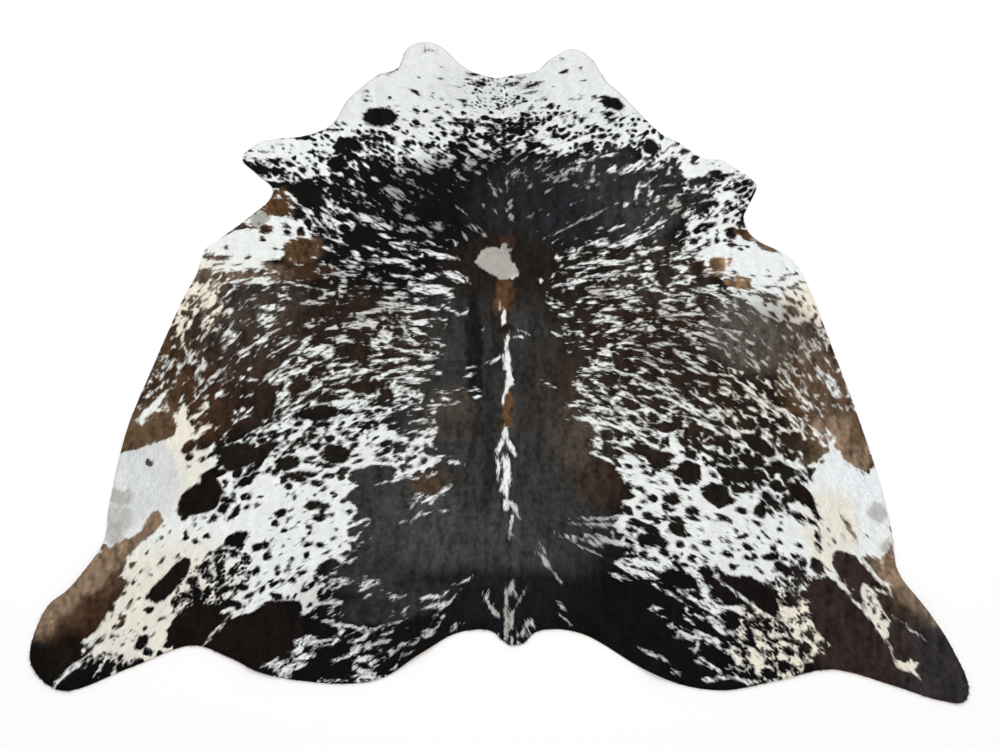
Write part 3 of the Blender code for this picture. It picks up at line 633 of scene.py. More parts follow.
coatMarks["right side"] = ("light", [
    (600,322,18,5,5), (617,325,13,3,25), (612,332,18,4,25), (582,336,6,4,-30), (571,332,9,1.5),
    (633,338,22,2,22), (588,350,8,3), (569,353,4,2), (628,344,17,4,5), (620,347,7,5), (605,352,9,5),
    (604,356,15,8,0), (596,362,7,3), (604,365,13,6,10), (600,369,22,6,0), (587,371,12,5,-15),
    (608,373,12,3), (625,375,22,3,-16), (636,378,14,5,-26), (585,377,9,3), (577,385,11,5,-15),
    (583,390,16,3,-35), (595,383,12,5,-48), (603,391,12,3,-48), (588,396,12,6,-20), (595,402,10,5),
    (604,398,6,5), (581,402,9,2), (622,395,11,6,10), (615,399,15,4,10), (630,400,15,2,-20),
    (573,406,10,3,0), (590,411,11,2,-20), (603,409,16,6,0), (628,414,28,4,-8), (650,410,28,3,-30),
    (663,418,12,4,-15), (585,419,22,4,-3), (652,388,36,7,-24), (668,390,26,8,-22), (665,381,14,3),
    (678,405,48,5,-27), (690,408,26,8,-16), (672,414,13,4,20), (651,365,22,3,-24), (643,370,7,4),
    (664,362,17,3,-20), (672,372,15,3,-15), (678,353,15,6,-25), (690,363,22,6,-33), (693,371,13,4),
    (640,351,15,2), (648,356,7,3), (665,345,21,3,0), (693,345,13,3), (655,348,13,2,-10), (667,330,11,4,-22),
    (682,332,9,5), (700,334,24,7,0), (706,325,13,4,-28), (711,339,22,4,-20), (713,346,20,2,-26),
    (695,343,15,2), (727,355,15,3,-50), (733,338,26,3,-38), (723,331,9,2,-40), (749,343,9,4,-22),
    (736,350,7,3), (682,354,9,6), (703,371,18,5,-35), (712,375,16,3,-8), (726,376,15,2,-6),
    (702,384,14,2,-14), (705,358,8,1.5), (730,394,26,6,-28), (752,394,46,5,-40), (757,403,26,3,-44),
    (765,405,26,7,-30), (776,411,22,8,-38), (788,418,26,6,-38), (768,385,11,6,-48), (783,385,16,6,-22),
    (786,377,13,5,-52), (784,365,8,3,-20), (789,371,9,2,-60), (752,361,15,2,-30), (748,364,9,2,-40),
    (764,364,8,4), (797,395,17,4,-58), (806,394,11,2,-42), (804,402,10,5,-60), (805,409,11,4,-20),
    (804,345,17,3,-76), (807,356,14,3,-66), (815,345,15,11,-40), (826,342,9,7), (822,334,10,3,88),
    (832,386,15,12,-60), (835,395,12,7,-50), (810,378,7,4,-60), (818,378,7,4,-70), (822,405,8,2,-45),
    (818,410,7,2,-45), (793,355,7,5), (798,338,15,3,-60), (789,328,14,3,-52), (725,414,16,7,0),
    (712,416,22,4,8), (708,424,17,2,-30), (728,431,14,7,-30), (745,433,16,4,0), (766,435,14,7),
    (795,424,34,9,-34), (812,432,40,7,-32), (685,425,9,7), (693,411,34,7,-30), (700,422,22,3,-26),
    (618,424,50,12,-10), (640,431,46,11,-20), (598,444,14,10,88), (596,454,12,6,-20), (606,460,18,4,-28),
    (626,446,16,7), (621,452,14,3,-26), (632,462,24,9,-25), (622,475,14,6,-40), (648,486,38,12,-10),
    (660,490,36,12,-20), (692,452,5,22,10), (675,465,8,12,0),
])
coatMarks["right side holes"] = ("dark", [
    (602,372,9,2), (612,378,18,8,-30), (630,366,26,9,0), (657,386,9,3), (657,393,11,4,0),
    (612,424,10,4,-10), (607,417,14,4,-15), (620,421,9,5,-30), (633,419,15,5,-20), (642,425,7,3),
    (646,433,13,5,-20), (624,435,9,3,-20), (723,415,6,3,-30), (784,418,8,5,-60), (788,424,9,4,-52),
    (784,427,8,4), (808,431,11,6,-36), (821,432,11,6,-38), (832,389,4,3,88), (836,389,4,3,88),
    (811,342,4,3), (817,341,3,4), (813,350,3,3), (607,434,17,6,-14), (618,440,9,5), (610,446,22,5,5),
    (612,453,24,8,-10), (617,457,13,4), (628,450,22,6,-18), (635,456,13,4,-30), (640,443,15,5),
    (653,441,15,7,-16), (662,447,7,5), (670,455,12,5,-20), (628,467,9,5,-16), (643,467,9,5,-20),
    (653,468,12,5,-22), (647,474,13,5,-25), (627,475,9,2,-16), (690,455,14,10,-25), (697,446,12,10),
    (683,442,11,7,-25), (685,490,11,3,-5), (651,483,11,3,-16), (662,482,7,2), (647,496,9,2,-12),
    (640,490,11,5,-26), (632,487,6,3), (627,496,15,9,-8), (671,500,19,11,-16), (675,494,7,3),
    (669,510,13,5,-5), (666,514,5,3), (644,502,9,4,-22), (638,508,7,4), (624,505,4,2), (648,517,15,8,-20),
    (657,521,9,8,-30), (692,512,15,9,-22), (693,519,13,5,-15), (677,521,19,8,-20), (677,530,20,13,-20),
    (685,535,12,6,-20), (636,524,19,9,-12), (650,530,26,9,-30), (631,531,13,5,-10), (617,537,10,7),
    (594,532,19,7,8), (606,530,13,4,-18), (613,523,6,3), (592,522,12,4,-8), (652,541,34,13,-10),
    (661,546,12,6,-20), (633,543,6,3), (618,549,38,9,-5),
])
coatMarks["right rear"] = ("light", [
    (568,537,20,5,-12), (574,541,9,4,-30), (595,543,18,7,-14), (600,539,22,7,-14), (620,545,30,4,-6),
    (600,525,44,4,-2), (603,519,46,3,0), (585,549,26,2,-25), (618,577,18,4,-14), (640,573,40,9,-20),
    (636,562,24,10,-20), (655,565,34,9,-12), (697,577,28,7,-50), (704,590,20,9,-56), (709,604,20,12,-20),
    (713,609,15,8), (722,608,26,5,-5), (735,609,20,6,0), (714,622,24,7,-36), (710,619,15,5),
    (719,630,17,6,-40), (729,633,22,5,-14), (740,635,16,6), (700,634,22,4,-20), (686,637,15,7),
    (680,635,9,9), (692,638,32,4,0), (709,641,16,5,-20), (697,645,13,4,85), (694,651,7,4),
    (716,645,16,4,-40), (733,592,48,2.5,-41), (752,606,28,5,-42), (693,600,24,5,-28), (680,591,9,3,-20),
    (688,591,15,2,6), (669,594,9,5,-20), (655,586,11,3,-42), (677,599,20,2,-35), (686,609,7,3,-60),
    (688,621,9,3,-20), (698,617,18,3,-12), (654,609,11,5,0), (663,617,7,2,-20), (671,626,9,5,-20),
    (645,651,12,3,-26), (655,656,18,4,-12), (664,660,7,3,-42), (676,673,9,3,-22), (703,660,9,4),
    (698,663,9,3), (711,666,10,6,-30), (718,671,9,4), (709,680,16,6,0), (725,678,22,5,0), (741,680,16,6),
    (751,683,18,5,5), (738,663,10,8), (755,666,14,12), (838,582,42,4,-48), (856,604,18,5,-45),
    (866,612,20,6,-48), (876,578,34,4,-50), (884,584,16,5,-50), (882,593,16,3,-25), (889,648,20,2,-62),
    (912,632,26,1.5,-40), (741,597,14,4,-45), (784,617,9,20,0),
])
coatMarks["right rear spots"] = ("dark", [
    (630,557,11,6,-10), (627,561,9,3), (633,567,9,4,-16), (646,569,8,4,-20), (643,554,10,6),
    (655,562,8,3,-30), (647,560,7,3), (664,553,13,7,-20), (661,547,9,4), (675,558,9,5), (680,545,9,8),
    (693,548,7,4), (690,560,9,5,-20), (694,557,4,2), (684,566,9,5), (676,565,11,7), (683,573,12,4,-30),
    (706,544,10,6,-15), (712,553,5,3), (703,557,7,2), (727,555,13,7,-20), (727,542,9,4), (731,549,7,3),
    (747,548,13,7,-30), (746,558,8,5), (754,557,7,5), (732,568,9,6), (737,566,4,4), (748,567,4,2),
    (756,568,5,3), (738,551,4,2), (722,443,27,11,-25), (705,452,24,5,-30), (719,458,26,7,-24),
    (726,463,20,7,-20), (748,461,26,12,-26), (738,489,16,8,-26), (752,490,11,4,-20), (735,495,9,3),
    (759,489,6,3), (750,498,4,2), (782,470,30,12,-28), (776,488,19,10,-30), (766,497,14,8,-55),
    (774,505,22,10,-35), (784,506,12,6), (791,500,11,7,-60), (760,512,15,13,-50), (769,512,12,5,-48),
    (762,504,9,5), (788,514,7,3,-50), (781,518,5,3), (773,518,4,2), (741,511,15,6,-20), (723,519,19,6,-22),
    (729,522,7,5), (757,524,11,5,-25), (745,521,4,2), (707,518,9,3,-20), (788,455,13,4,-45),
    (780,450,22,4,-38), (790,443,28,15,-32), (822,462,5,4), (824,442,9,4,-48), (806,467,11,4,-52),
    (803,474,14,3,-50), (809,478,14,4,-52), (803,481,12,4,-50), (815,515,16,5,-46), (798,517,16,8,-32),
    (811,523,17,5,-36), (800,524,8,2,-40), (817,537,13,5,-75), (818,547,9,4,-42), (798,547,9,3,-42),
    (779,542,7,4,-32), (766,537,10,3), (757,538,4,2), (780,530,7,4), (781,524,4,2), (762,532,5,2),
    (736,532,9,4,-40), (742,537,14,5,18), (721,538,5,2), (701,531,7,3), (697,550,5,3), (754,546,6,2),
    (763,544,4,2), (774,546,5,3), (684,535,9,6), (834,543,7,3,-60), (843,538,5,2), (829,530,4,2),
    (865,536,6,2,-45), (863,474,5,2,-40), (849,529,29,5,-62), (770,557,17,8,12), (783,559,9,5,-20),
    (794,557,10,5,-32), (802,564,10,8,-50), (792,564,9,4), (784,570,18,9,-22), (791,575,22,5,-10),
    (778,566,10,7), (804,581,9,6,-60), (797,583,11,6), (785,583,15,4), (803,594,7,6), (817,567,20,12,-55),
    (817,546,9,4,-42), (818,551,5,3), (799,547,10,4,-40), (791,602,20,11,-22), (718,637,9,5),
    (731,637,13,5), (713,637,6,4), (707,614,10,5,-20), (725,646,13,8,-12), (737,646,8,6), (749,613,9,4,-20),
    (752,625,17,6,-32), (767,621,8,5,-20), (757,620,11,6), (749,632,12,5,-42), (747,637,8,5),
    (780,624,10,5,-30), (775,641,18,5,4), (770,645,10,5), (788,640,15,4,-15), (805,634,9,4,-52),
    (804,648,15,11,-22), (790,652,13,7,-16), (801,657,11,6), (814,658,15,5,0), (768,674,18,11,-20),
    (766,663,7,6), (758,651,10,4,-30), (745,662,8,6), (752,670,7,5), (782,671,8,4), (728,672,15,7,0),
    (743,676,11,6), (730,685,42,6,0), (867,591,5,2,-60), (869,600,11,3,-60), (873,610,5,3),
    (883,617,9,3,-50), (881,580,6,2,-50), (744,656,6,4), (735,652,5,4), (793,629,6,3), (812,641,6,3),
    (765,633,8,4), (752,686,20,4,5),
])
coatMarks["spine"] = ("solid", [
    (504,318,15,5,88), (500,305,7,2,88), (508,338,8,3,80), (506,346,14,3,84), (497,360,14,3,27),
    (507,356,12,5,88), (507,364,15,8,85), (509,375,16,6,84), (510,382,10,7,-80), (506,391,16,3.5,72),
    (504,400,11,2,85), (505,435,14,6,88), (500,447,17,5,66), (511,448,17,6,-62), (505,463,15,8,88),
    (498,471,15,3,-85), (507,474,26,7,86), (504,486,15,7,88), (507,493,15,5,86), (506,505,13,5,88),
    (513,507,13,4,-52), (517,513,11,2.5,-75), (511,527,22,3,82), (509,478,10,4,88), (512,588,13,5,80),
    (508,592,13,2.5,70), (515,593,9,2,-60), (506,600,14,2.5,90), (506,608,17,3,86), (507,621,22,4.5,88),
    (511,624,15,3,75), (506,632,14,4,90), (513,614,12,2,70), (512,640,8,3,88), (505,639,8,2,88),
    (520,600,17,1.5,62), (486,598,7,3,60), (490,606,19,3,-55), (496,614,9,5,-55), (527,625,13,4,72),
    (523,633,9,3.5,80), (532,624,10,3,-70), (546,563,17,4,-55), (554,574,15,1.5,-55), (562,607,8,2,-55),
    (566,621,11,1.5,-45), (544,551,9,1.5,-60),
])
coatMarks["spine holes"] = ("dark", [
    (505.5,452,16,4.5,90), (501.5,469,11,3,82), (508.5,497,7,1.5,80), (512,513,9,3,70),
])

# Soft tones of the dark hair and of the light hair, (across, down, halfLong, halfWide, turn, colour,
# strength), each laid over the ones before it. In the dark hair the greys (charcoal, slate, smoke, and taupe
# in part) are painted sheen, the light that the black hair catches on the back, the rump, the shoulders and
# the flanks; the browns are the hair's own colour.
darkTonesAndSheen = [
    (505,450,112,168,0,"charcoal",0.95), (420,545,90,50,20,"charcoal",0.9),
    (440,345,46,60,0,"charcoal",0.5), (560,205,90,46,0,"gunmetal",0.9), (500,270,60,36,0,"sooty",0.8),
    (600,290,70,46,0,"sooty",0.8), (474,365,8,80,0,"night",0.85), (489,430,6,90,0,"night",0.5),
    (497,320,6,60,0,"sooty",0.7), (480,545,70,36,0,"slate",0.4), (560,400,26,40,0,"taupe",0.45),
    (320,470,46,50,0,"sooty",0.7), (376,500,38,42,0,"charcoal",0.95), (415,520,46,44,0,"slate",0.45),
    (715,480,110,70,0,"sooty",0.65), (160,520,22,18,0,"bark",0.7), (540,385,24,50,0,"sooty",0.35),
    (340,350,92,62,0,"umber",0.75), (230,370,72,62,0,"umber",0.9), (175,400,52,60,60,"bark",0.9),
    (150,432,36,26,30,"olive",1), (150,350,60,20,60,"walnut",0.7), (252,300,56,30,0,"taupe",0.5),
    (300,250,22,15,0,"walnut",1), (277,208,18,19,0,"rust",1), (255,230,22,10,0,"bark",0.8),
    (225,250,30,14,0,"walnut",0.6), (665,370,116,84,0,"umber",0.75), (665,275,50,34,0,"taupe",0.3),
    (760,330,52,42,0,"smoke",0.8), (820,400,60,36,-65,"walnut",0.9), (850,452,26,24,0,"fawn",0.85),
    (812,451,20,16,0,"olive",1), (832,430,20,14,0,"fawn",0.8), (862,428,12,22,-20,"walnut",0.8),
    (595,478,36,22,-60,"bark",0.55), (575,440,22,30,0,"taupe",0.6), (450,415,26,26,0,"taupe",0.6),
    (430,483,20,12,0,"walnut",0.6), (645,180,66,50,0,"charcoal",0.55), (640,220,34,26,0,"charcoal",0.9),
    (177,390,22,16,45,"walnut",0.5), (700,395,30,20,0,"umber",0.7), (78,592,62,26,40,"ash",1),
    (92,625,55,26,40,"bark",0.9), (55,668,42,22,40,"pitch",0.9), (140,532,34,16,35,"fawn",0.8),
    (888,572,18,14,-40,"fawn",0.9), (868,561,14,8,-40,"wood",0.9), (888,550,10,12,0,"fawn",0.7),
    (910,604,34,16,-50,"ash",0.8), (892,607,34,9,-50,"bark",0.8), (932,622,18,6,-52,"fawn",0.8),
    (932,668,62,34,-50,"ink",0.9), (850,628,76,50,-45,"cocoa",0.8), (852,570,26,18,-40,"cocoa",0.8),
    (200,495,28,24,0,"plum",0.8), (150,464,8,8,0,"taupe",1), (170,582,40,22,45,"plum",0.8),
    (195,628,32,24,0,"plum",0.9), (258,636,46,36,10,"plum",0.9), (504,297,20,10,88,"rust",1),
    (508,409,24,4.5,88,"ginger",0.9), (505,330,8,6,0,"plum",0.8), (246,455,30,14,20,"sooty",0.8),
    (717,265,14,12,0,"tan",1), (729,263,5,3,80,"tan",1), (743,234,10,7,-35,"rust",1),
    (731,247,10,8,-20,"bark",0.9), (741,284,16,7,-12,"bark",1), (765,246,18,6,-27,"walnut",1),
    (790,300,22,30,-40,"umber",0.7), (700,270,12,22,90,"umber",0.8), (508,243,7,9,0,"bark",0.6),
    (300,272,36,11,0,"bark",0.9), (509,479,6,3,88,"ginger",0.8), (490,606,112,38,0,"night",0.8),
    (396,604,56,17,12,"charcoal",0.75), (655,640,60,50,0,"night",0.5), (605,105,30,30,0,"night",0.6),
    (650,148,22,18,0,"night",0.9), (745,590,50,30,-35,"plum",0.6), (790,444,22,12,-32,"umber",0.8),
    (848,530,20,8,-62,"ash",0.9), (803,495,16,12,-45,"plum",0.8), (742,218,16,6,88,"night",0.9),
    (380,118,24,16,0,"night",0.4), (115,575,30,14,40,"ash",0.8), (240,272,52,12,-4,"wood",0.7),
    (200,285,30,22,60,"wood",0.7), (245,340,62,40,0,"taupe",0.25), (795,300,34,20,-30,"wood",0.7),
    (806,335,22,26,0,"taupe",0.8), (826,392,50,24,-65,"wood",0.4), (741,284,16,8,-12,"tan",0.5),
    (765,246,20,6,-27,"wood",0.8), (110,590,44,9,52,"bark",0.8),
]

lightTones = [
    (490,200,120,46,0,"iron",0.8), (490,80,200,70,0,"chalk",0.9), (490,90,60,26,0,"pale grey",0.7),
    (820,330,20,36,10,"cream",0.6), (795,350,36,46,0,"dust",0.5), (185,345,46,50,0,"dust",0.35),
    (190,310,50,32,60,"cream",0.9), (180,430,42,26,20,"cream",0.7), (190,480,30,30,0,"milk",0.8),
    (160,610,80,60,40,"milk",0.9), (145,482,36,44,0,"pale grey",0.9), (855,500,32,52,0,"cool white",0.9),
    (805,300,22,34,0,"cream",0.9), (830,530,28,40,0,"milk",0.9), (765,262,50,28,-25,"cool white",0.8),
    (760,340,56,40,0,"stone",0.55), (785,640,56,46,0,"cream",0.8), (408,552,50,34,0,"iron",0.9),
    (496,262,32,24,0,"stone",0.8), (118,497,16,8,0,"dust",0.8), (877,513,9,9,-50,"dust",0.8),
    (875,612,44,30,-55,"milk",0.9), (905,665,20,14,0,"cream",0.8), (118,518,16,12,0,"dust",0.7),
    (116,535,12,12,0,"dust",0.8), (888,547,7,8,0,"dust",0.8), (425,640,60,30,0,"dust",0.7),
    (355,300,60,40,0,"dust",0.5), (598,292,18,8,0,"dust",0.8), (560,545,60,40,0,"iron",0.6),
    (511,608,22,34,0,"stone",0.7), (690,350,60,50,0,"dust",0.35), (640,660,60,40,0,"dust",0.5),
    (360,600,70,30,0,"dust",0.35), (675,207,12,10,0,"stone",0.6), (260,218,12,8,20,"stone",0.8),
    (760,410,60,40,-40,"milk",0.7),
]


def seededKey(column, row, seed):
    # A whole number below 2^31 for each column and row, which looks random and depends on the seed.
    key = column * 73856093 ^ row * 19349663 ^ (seed + 1) * 83492791
    key = (key ^ (key >> 13)) * 1274126177 & 0x7fffffff
    return key ^ (key >> 15)


def softStep(value):
    # 3t^2 - 2t^3, with t the value held between 0 and 1.
    t = np.clip(value, 0, 1)
    return t * t * (3 - 2 * t)


def gradientNoise(u, v, seed):
    # Every whole-number corner has a slope of seeded direction. The value is the four nearest corners'
    # slopes times the way from them, blended by 6t^5 - 15t^4 + 10t^3, and scaled to about -1 to 1.
    cornerU, cornerV = np.floor(u), np.floor(v)
    awayU, awayV = u - cornerU, v - cornerV
    cornerU, cornerV = cornerU.astype(np.int64), cornerV.astype(np.int64)

    def slopeHeight(stepU, stepV):
        turn = seededKey(cornerU + stepU, cornerV + stepV, seed) % 65536 * (2 * np.pi / 65536)
        return np.cos(turn) * (awayU - stepU) + np.sin(turn) * (awayV - stepV)

    blendU = awayU ** 3 * (awayU * (awayU * 6 - 15) + 10)
    blendV = awayV ** 3 * (awayV * (awayV * 6 - 15) + 10)
    upper = slopeHeight(0, 0) * (1 - blendU) + slopeHeight(1, 0) * blendU
    lower = slopeHeight(0, 1) * (1 - blendU) + slopeHeight(1, 1) * blendU
    return (upper * (1 - blendV) + lower * blendV) * 1.5


def hairDirection(across, down):
    # The way the hair points on the chart: each row of hairLay counts by exp(-(distance / reach)^2), the
    # doubled angles are averaged, and the sign follows the plain average.
    rows = np.array(hairLay, float)
    off = np.abs(across - coat["spine"])
    side = np.where(across < coat["spine"], -1.0, 1.0)
    turn = np.radians(rows[:, 2])
    nearer = np.minimum((off[:, None] - rows[None, :, 0]) ** 2, (off[:, None] + rows[None, :, 0]) ** 2)
    gap = nearer + (down[:, None] - rows[None, :, 1]) ** 2
    weight = np.exp(-gap / coat["layReach"] ** 2) + 1e-9 / (gap + 1)
    angle = np.arctan2(weight @ np.sin(2 * turn), weight @ np.cos(2 * turn)) / 2
    out, tailward = np.cos(angle), np.sin(angle)
    sign = np.where(out * (weight @ np.cos(turn)) + tailward * (weight @ np.sin(turn)) < 0, -1.0, 1.0)
    return out * sign * side, tailward * sign


def hairTurn(across, down):
    # The hair's turn at one place of the chart, in degrees up to the right.
    pointing = hairDirection(np.array([across]), np.array([down]))
    return float(np.degrees(np.arctan2(-pointing[1][0], pointing[0][0])))


def streakNoise(across, down, pointing, streak, seed):
    # Noise with cells of the streak's width, averaged along the hair over its length, and divided by its
    # spread.
    width, length, spread = streak
    total = np.zeros(len(across))
    for step in np.linspace(-0.5, 0.5, coat["streakSteps"]):
        total += gradientNoise((across + pointing[0] * step * length) / width,
                               (down + pointing[1] * step * length) / width, seed)
    return total / coat["streakSteps"] / spread


def cellWalls(across, down, pointing, size, seed):
    # One seeded point in every square of a grid. A wall runs where the two nearest points are equally far,
    # with ways along the hair counted shorter by cellStretch: the value is half the two distances'
    # difference, times the nearest point's own weight.
    jitter = coat["cellJitter"]
    lightest, heaviest = coat["cellWeights"]
    cellAcross, cellDown = np.floor(across / size), np.floor(down / size)
    nearest = np.full(len(across), 1e9)
    second = np.full(len(across), 1e9)
    weight = np.zeros(len(across))
    for stepAcross in (-1, 0, 1):
        for stepDown in (-1, 0, 1):
            column = (cellAcross + stepAcross).astype(np.int64)
            row = (cellDown + stepDown).astype(np.int64)
            key = seededKey(column, row, seed)
            awayAcross = across - (column + 0.5 + jitter * (key % 1024 / 1023 - 0.5)) * size
            awayDown = down - (row + 0.5 + jitter * (key // 1024 % 1024 / 1023 - 0.5)) * size
            along = awayAcross * pointing[0] + awayDown * pointing[1]
            aside = awayDown * pointing[0] - awayAcross * pointing[1]
            away = np.hypot(along / coat["cellStretch"], aside)
            second = np.minimum(second, np.maximum(nearest, away))
            ownWeight = lightest + (heaviest - lightest) * (key // 7 % 1024 / 1023)
            weight = np.where(away < nearest, ownWeight, weight)
            nearest = np.minimum(nearest, away)
    return (second - nearest) / 2 * weight


def ellipseReach(across, down, ellipse):
    # How far out of an ellipse each point is: 0 at its middle, 1 on its rim.
    middleAcross, middleDown, halfLong, halfWide, turn = ellipse
    cosine, sine = np.cos(np.radians(turn)), np.sin(np.radians(turn))
    awayAcross, awayDown = across - middleAcross, down - middleDown
    along = awayAcross * cosine - awayDown * sine
    aside = awayAcross * sine + awayDown * cosine
    return np.hypot(along / halfLong, aside / halfWide)


def shapeDistance(across, down, corners):
    # Distance to the nearest side of a closed shape, positive inside it.
    corners = np.array(corners, float)
    ends = np.roll(corners, -1, axis=0)
    nearest = np.full(len(across), 1e9)
    inside = np.zeros(len(across), bool)
    for (startX, startY), (endX, endY) in zip(corners, ends):
        runX, runY = endX - startX, endY - startY
        share = np.clip(((across - startX) * runX + (down - startY) * runY) / (runX ** 2 + runY ** 2), 0, 1)
        nearest = np.minimum(nearest, np.hypot(across - startX - share * runX, down - startY - share * runY))
        spans = (startY > down) != (endY > down)
        if runY != 0:
            inside ^= spans & (across < startX + (down - startY) * runX / runY)
    return np.where(inside, nearest, -nearest)


def shareOfLight(across, down):
    # How much of the hair is light, with each field of lightShare laid over the ones before it.
    share = np.zeros(len(across))
    for *ellipse, value in lightShare:
        reach = ellipseReach(across, down, ellipse)
        share += (value - share) * softStep((coat["shareEnd"] - reach) / coat["shareFade"])
    return share


def spreadPoint(share):
    # How many spreads above the middle of a bell curve the given share ends: 4.91 (p^0.14 - (1 - p)^0.14).
    return 4.91 * (share ** 0.14 - (1 - share) ** 0.14)


def speckle(across, down, bentAcross, bentDown, pointing):
    # Where the share is high, light veins of width veinWidth * exp(veinGrowth * spreadPoint) run between
    # dark cells. Where it is low, light wisps lie along the hair. The lesser of the two counts.
    share = shareOfLight(across, down)
    drift = gradientNoise(across / coat["driftSize"], down / coat["driftSize"], 14) * coat["driftStrength"]
    drift += streakNoise(across, down, pointing, coat["breakStreak"], 11) * coat["breakStrength"]
    amount = spreadPoint(np.clip(share, *coat["veinShares"]))
    amount += drift * np.clip((1 - share) * coat["driftEnd"], 0, 1)
    wisps = streakNoise(across, down, pointing, coat["wispStreak"], 20) + drift * coat["wispDrift"]
    wisps += share * coat["wispGain"] - coat["wispLoss"]
    wisps -= np.maximum(coat["bareShare"] - share, 0) * coat["bareLoss"]

    large = cellWalls(bentAcross, bentDown, pointing, coat["cellSize"], 17)
    small = cellWalls(bentAcross, bentDown, pointing, coat["smallSize"], 18)
    small *= coat["cellSize"] / coat["smallSize"]
    mixed = gradientNoise(across / coat["mixSize"], down / coat["mixSize"], 19) * coat["mixStrength"]
    mixed = np.clip(mixed + (down - coat["mixMiddle"]) / coat["mixSpan"] + 0.5, 0, 1)
    net = large * mixed + small * (1 - mixed)
    for ellipse in stippleZones:
        near = np.flatnonzero(ellipseReach(bentAcross, bentDown, ellipse) < 1)
        lay = (pointing[0][near], pointing[1][near])
        tiny = cellWalls(bentAcross[near], bentDown[near], lay, coat["stippleSize"], 23)
        tiny *= coat["cellSize"] / coat["stippleSize"]
        net[near] += (tiny - net[near]) * coat["stippleShare"]
    veins = coat["veinWidth"] * np.exp(coat["veinGrowth"] * amount) - coat["veinLoss"] - net
    return np.minimum(veins * coat["veinPull"], wisps * coat["wispSlope"])


def layShapes(field, across, down, bentAcross, bentDown):
    # Each shape is laid over the field: its signed distance, or the negative of it where the hair is dark.
    margin = coat["deepest"] + coat["warp"]
    for kind, *corners in coatShapes.values():
        low, high = np.min(corners, axis=0) - margin, np.max(corners, axis=0) + margin
        near = np.flatnonzero((across > low[0]) & (across < high[0]) & (down > low[1]) & (down < high[1]))
        distance = shapeDistance(bentAcross[near], bentDown[near], corners)
        if kind == "light":
            field[near] = np.maximum(field[near], distance)
        else:
            field[near] = np.minimum(field[near], -distance)


def layMarks(field, across, down, bentAcross, bentDown, lace):
    # Each mark is an ellipse laid over the field in the same way. Light ones are shallow, and the broad ones
    # of them are cut into strokes by the lace.
    share, margin = coat["markReach"]
    order = np.argsort(down)
    sortedDown = down[order]
    for kind, marks in coatMarks.values():
        for mark in marks:
            middleAcross, middleDown, markLong, markWide = mark[:4]
            reach = max(markLong, markWide) * share + margin
            first, last = np.searchsorted(sortedDown, (middleDown - reach, middleDown + reach))
            near = order[first:last]
            near = near[np.abs(across[near] - middleAcross) < reach]
            if len(near) == 0:
                continue
            turn = mark[4] if len(mark) > 4 else hairTurn(middleAcross, middleDown)
            ellipse = (middleAcross, middleDown, markLong / 2, markWide / 2, turn)
            narrow = min(markLong, markWide)
            distance = (1 - ellipseReach(bentAcross[near], bentDown[near], ellipse)) * narrow / 2
            if kind == "dark":
                field[near] = np.minimum(field[near], -distance)
                continue
            if kind == "light":
                distance += coat["lightSwell"]
                if narrow > coat["laceFrom"]:
                    distance = np.minimum(distance, lace[near])
            field[near] = np.maximum(field[near], np.minimum(distance, coat["lightDepth"]))


def lightField(across, down):
    # A signed distance from the border between light and dark hair, positive in light hair. It is the
    # speckle, the shapes and then the marks laid over it, and two streaked noises that roughen every border.
    pointing = hairDirection(across, down)
    place = (across / coat["warpSize"], down / coat["warpSize"])
    bentAcross = across + gradientNoise(*place, 15) * coat["warp"]
    bentDown = down + gradientNoise(*place, 16) * coat["warp"]
    field = speckle(across, down, bentAcross, bentDown, pointing)
    layShapes(field, across, down, bentAcross, bentDown)
    lace = streakNoise(across, down, pointing, coat["laceStreak"], 22) * coat["lacePull"] + coat["laceGain"]
    layMarks(field, across, down, bentAcross, bentDown, lace)
    field += streakNoise(across, down, pointing, coat["crumbStreak"], 12) * coat["crumbPull"]
    field += streakNoise(across, down, pointing, coat["edgeStreak"], 13) * coat["edgeJag"]
    return np.clip(field, -coat["deepest"], coat["deepest"]), pointing


def linearColour(name):
    # From the 0 to 255 of a colour chooser to the linear light that shaders use.
    shade = np.array(coatColours[name]) / 255
    return np.where(shade <= 0.04045, shade / 12.92, ((shade + 0.055) / 1.055) ** 2.4)


def paintedRimShadow(down, distance):
    # What light hair is multiplied with near the neck's rim: 1 - dim * (1 - distance / width), fading out
    # down the chart. It paints the shadow under the neck's rim, and the dark of the rim's cut edge.
    near = 1 - np.clip(distance / coat["rimDimWidth"], 0, 1)
    return 1 - coat["rimDim"] * near * np.clip((coat["rimDimEnd"] - down) / coat["rimDimFade"], 0, 1)


def hairTone(across, down, base, tones, mottle):
    # The base colour, with each ragged round tone laid over the ones before it. All of it is then mottled:
    # times 1 + mottle * two noises, of which one runs in long stripes down the chart. On the dark hair this
    # mottle, like its grey tones, is painted sheen.
    def rags(seed):
        broad, fine = coat["toneRags"]
        noise = gradientNoise(across / broad, down / broad, seed)
        noise += gradientNoise(across / fine, down / fine, seed + 1)
        return noise * coat["toneBend"]

    bentAcross, bentDown = across + rags(31), down + rags(33)
    colour = np.tile(linearColour(base), (len(across), 1))
    for *ellipse, name, strength in tones:
        reach = ellipseReach(bentAcross, bentDown, ellipse)
        blend = softStep((1 - reach) / coat["toneFade"] + 0.5) * strength
        colour += (linearColour(name) - colour) * blend[:, None]
    (wide, tall), (narrow, low) = coat["stripeSizes"]
    stripes = gradientNoise(across / wide, down / tall, 35) + gradientNoise(across / narrow, down / low, 36)
    return colour * (1 + stripes * mottle)[:, None]


def addObject(name, data):
    thing = bpy.data.objects.new(name, data)
    bpy.context.scene.collection.objects.link(thing)
    return thing


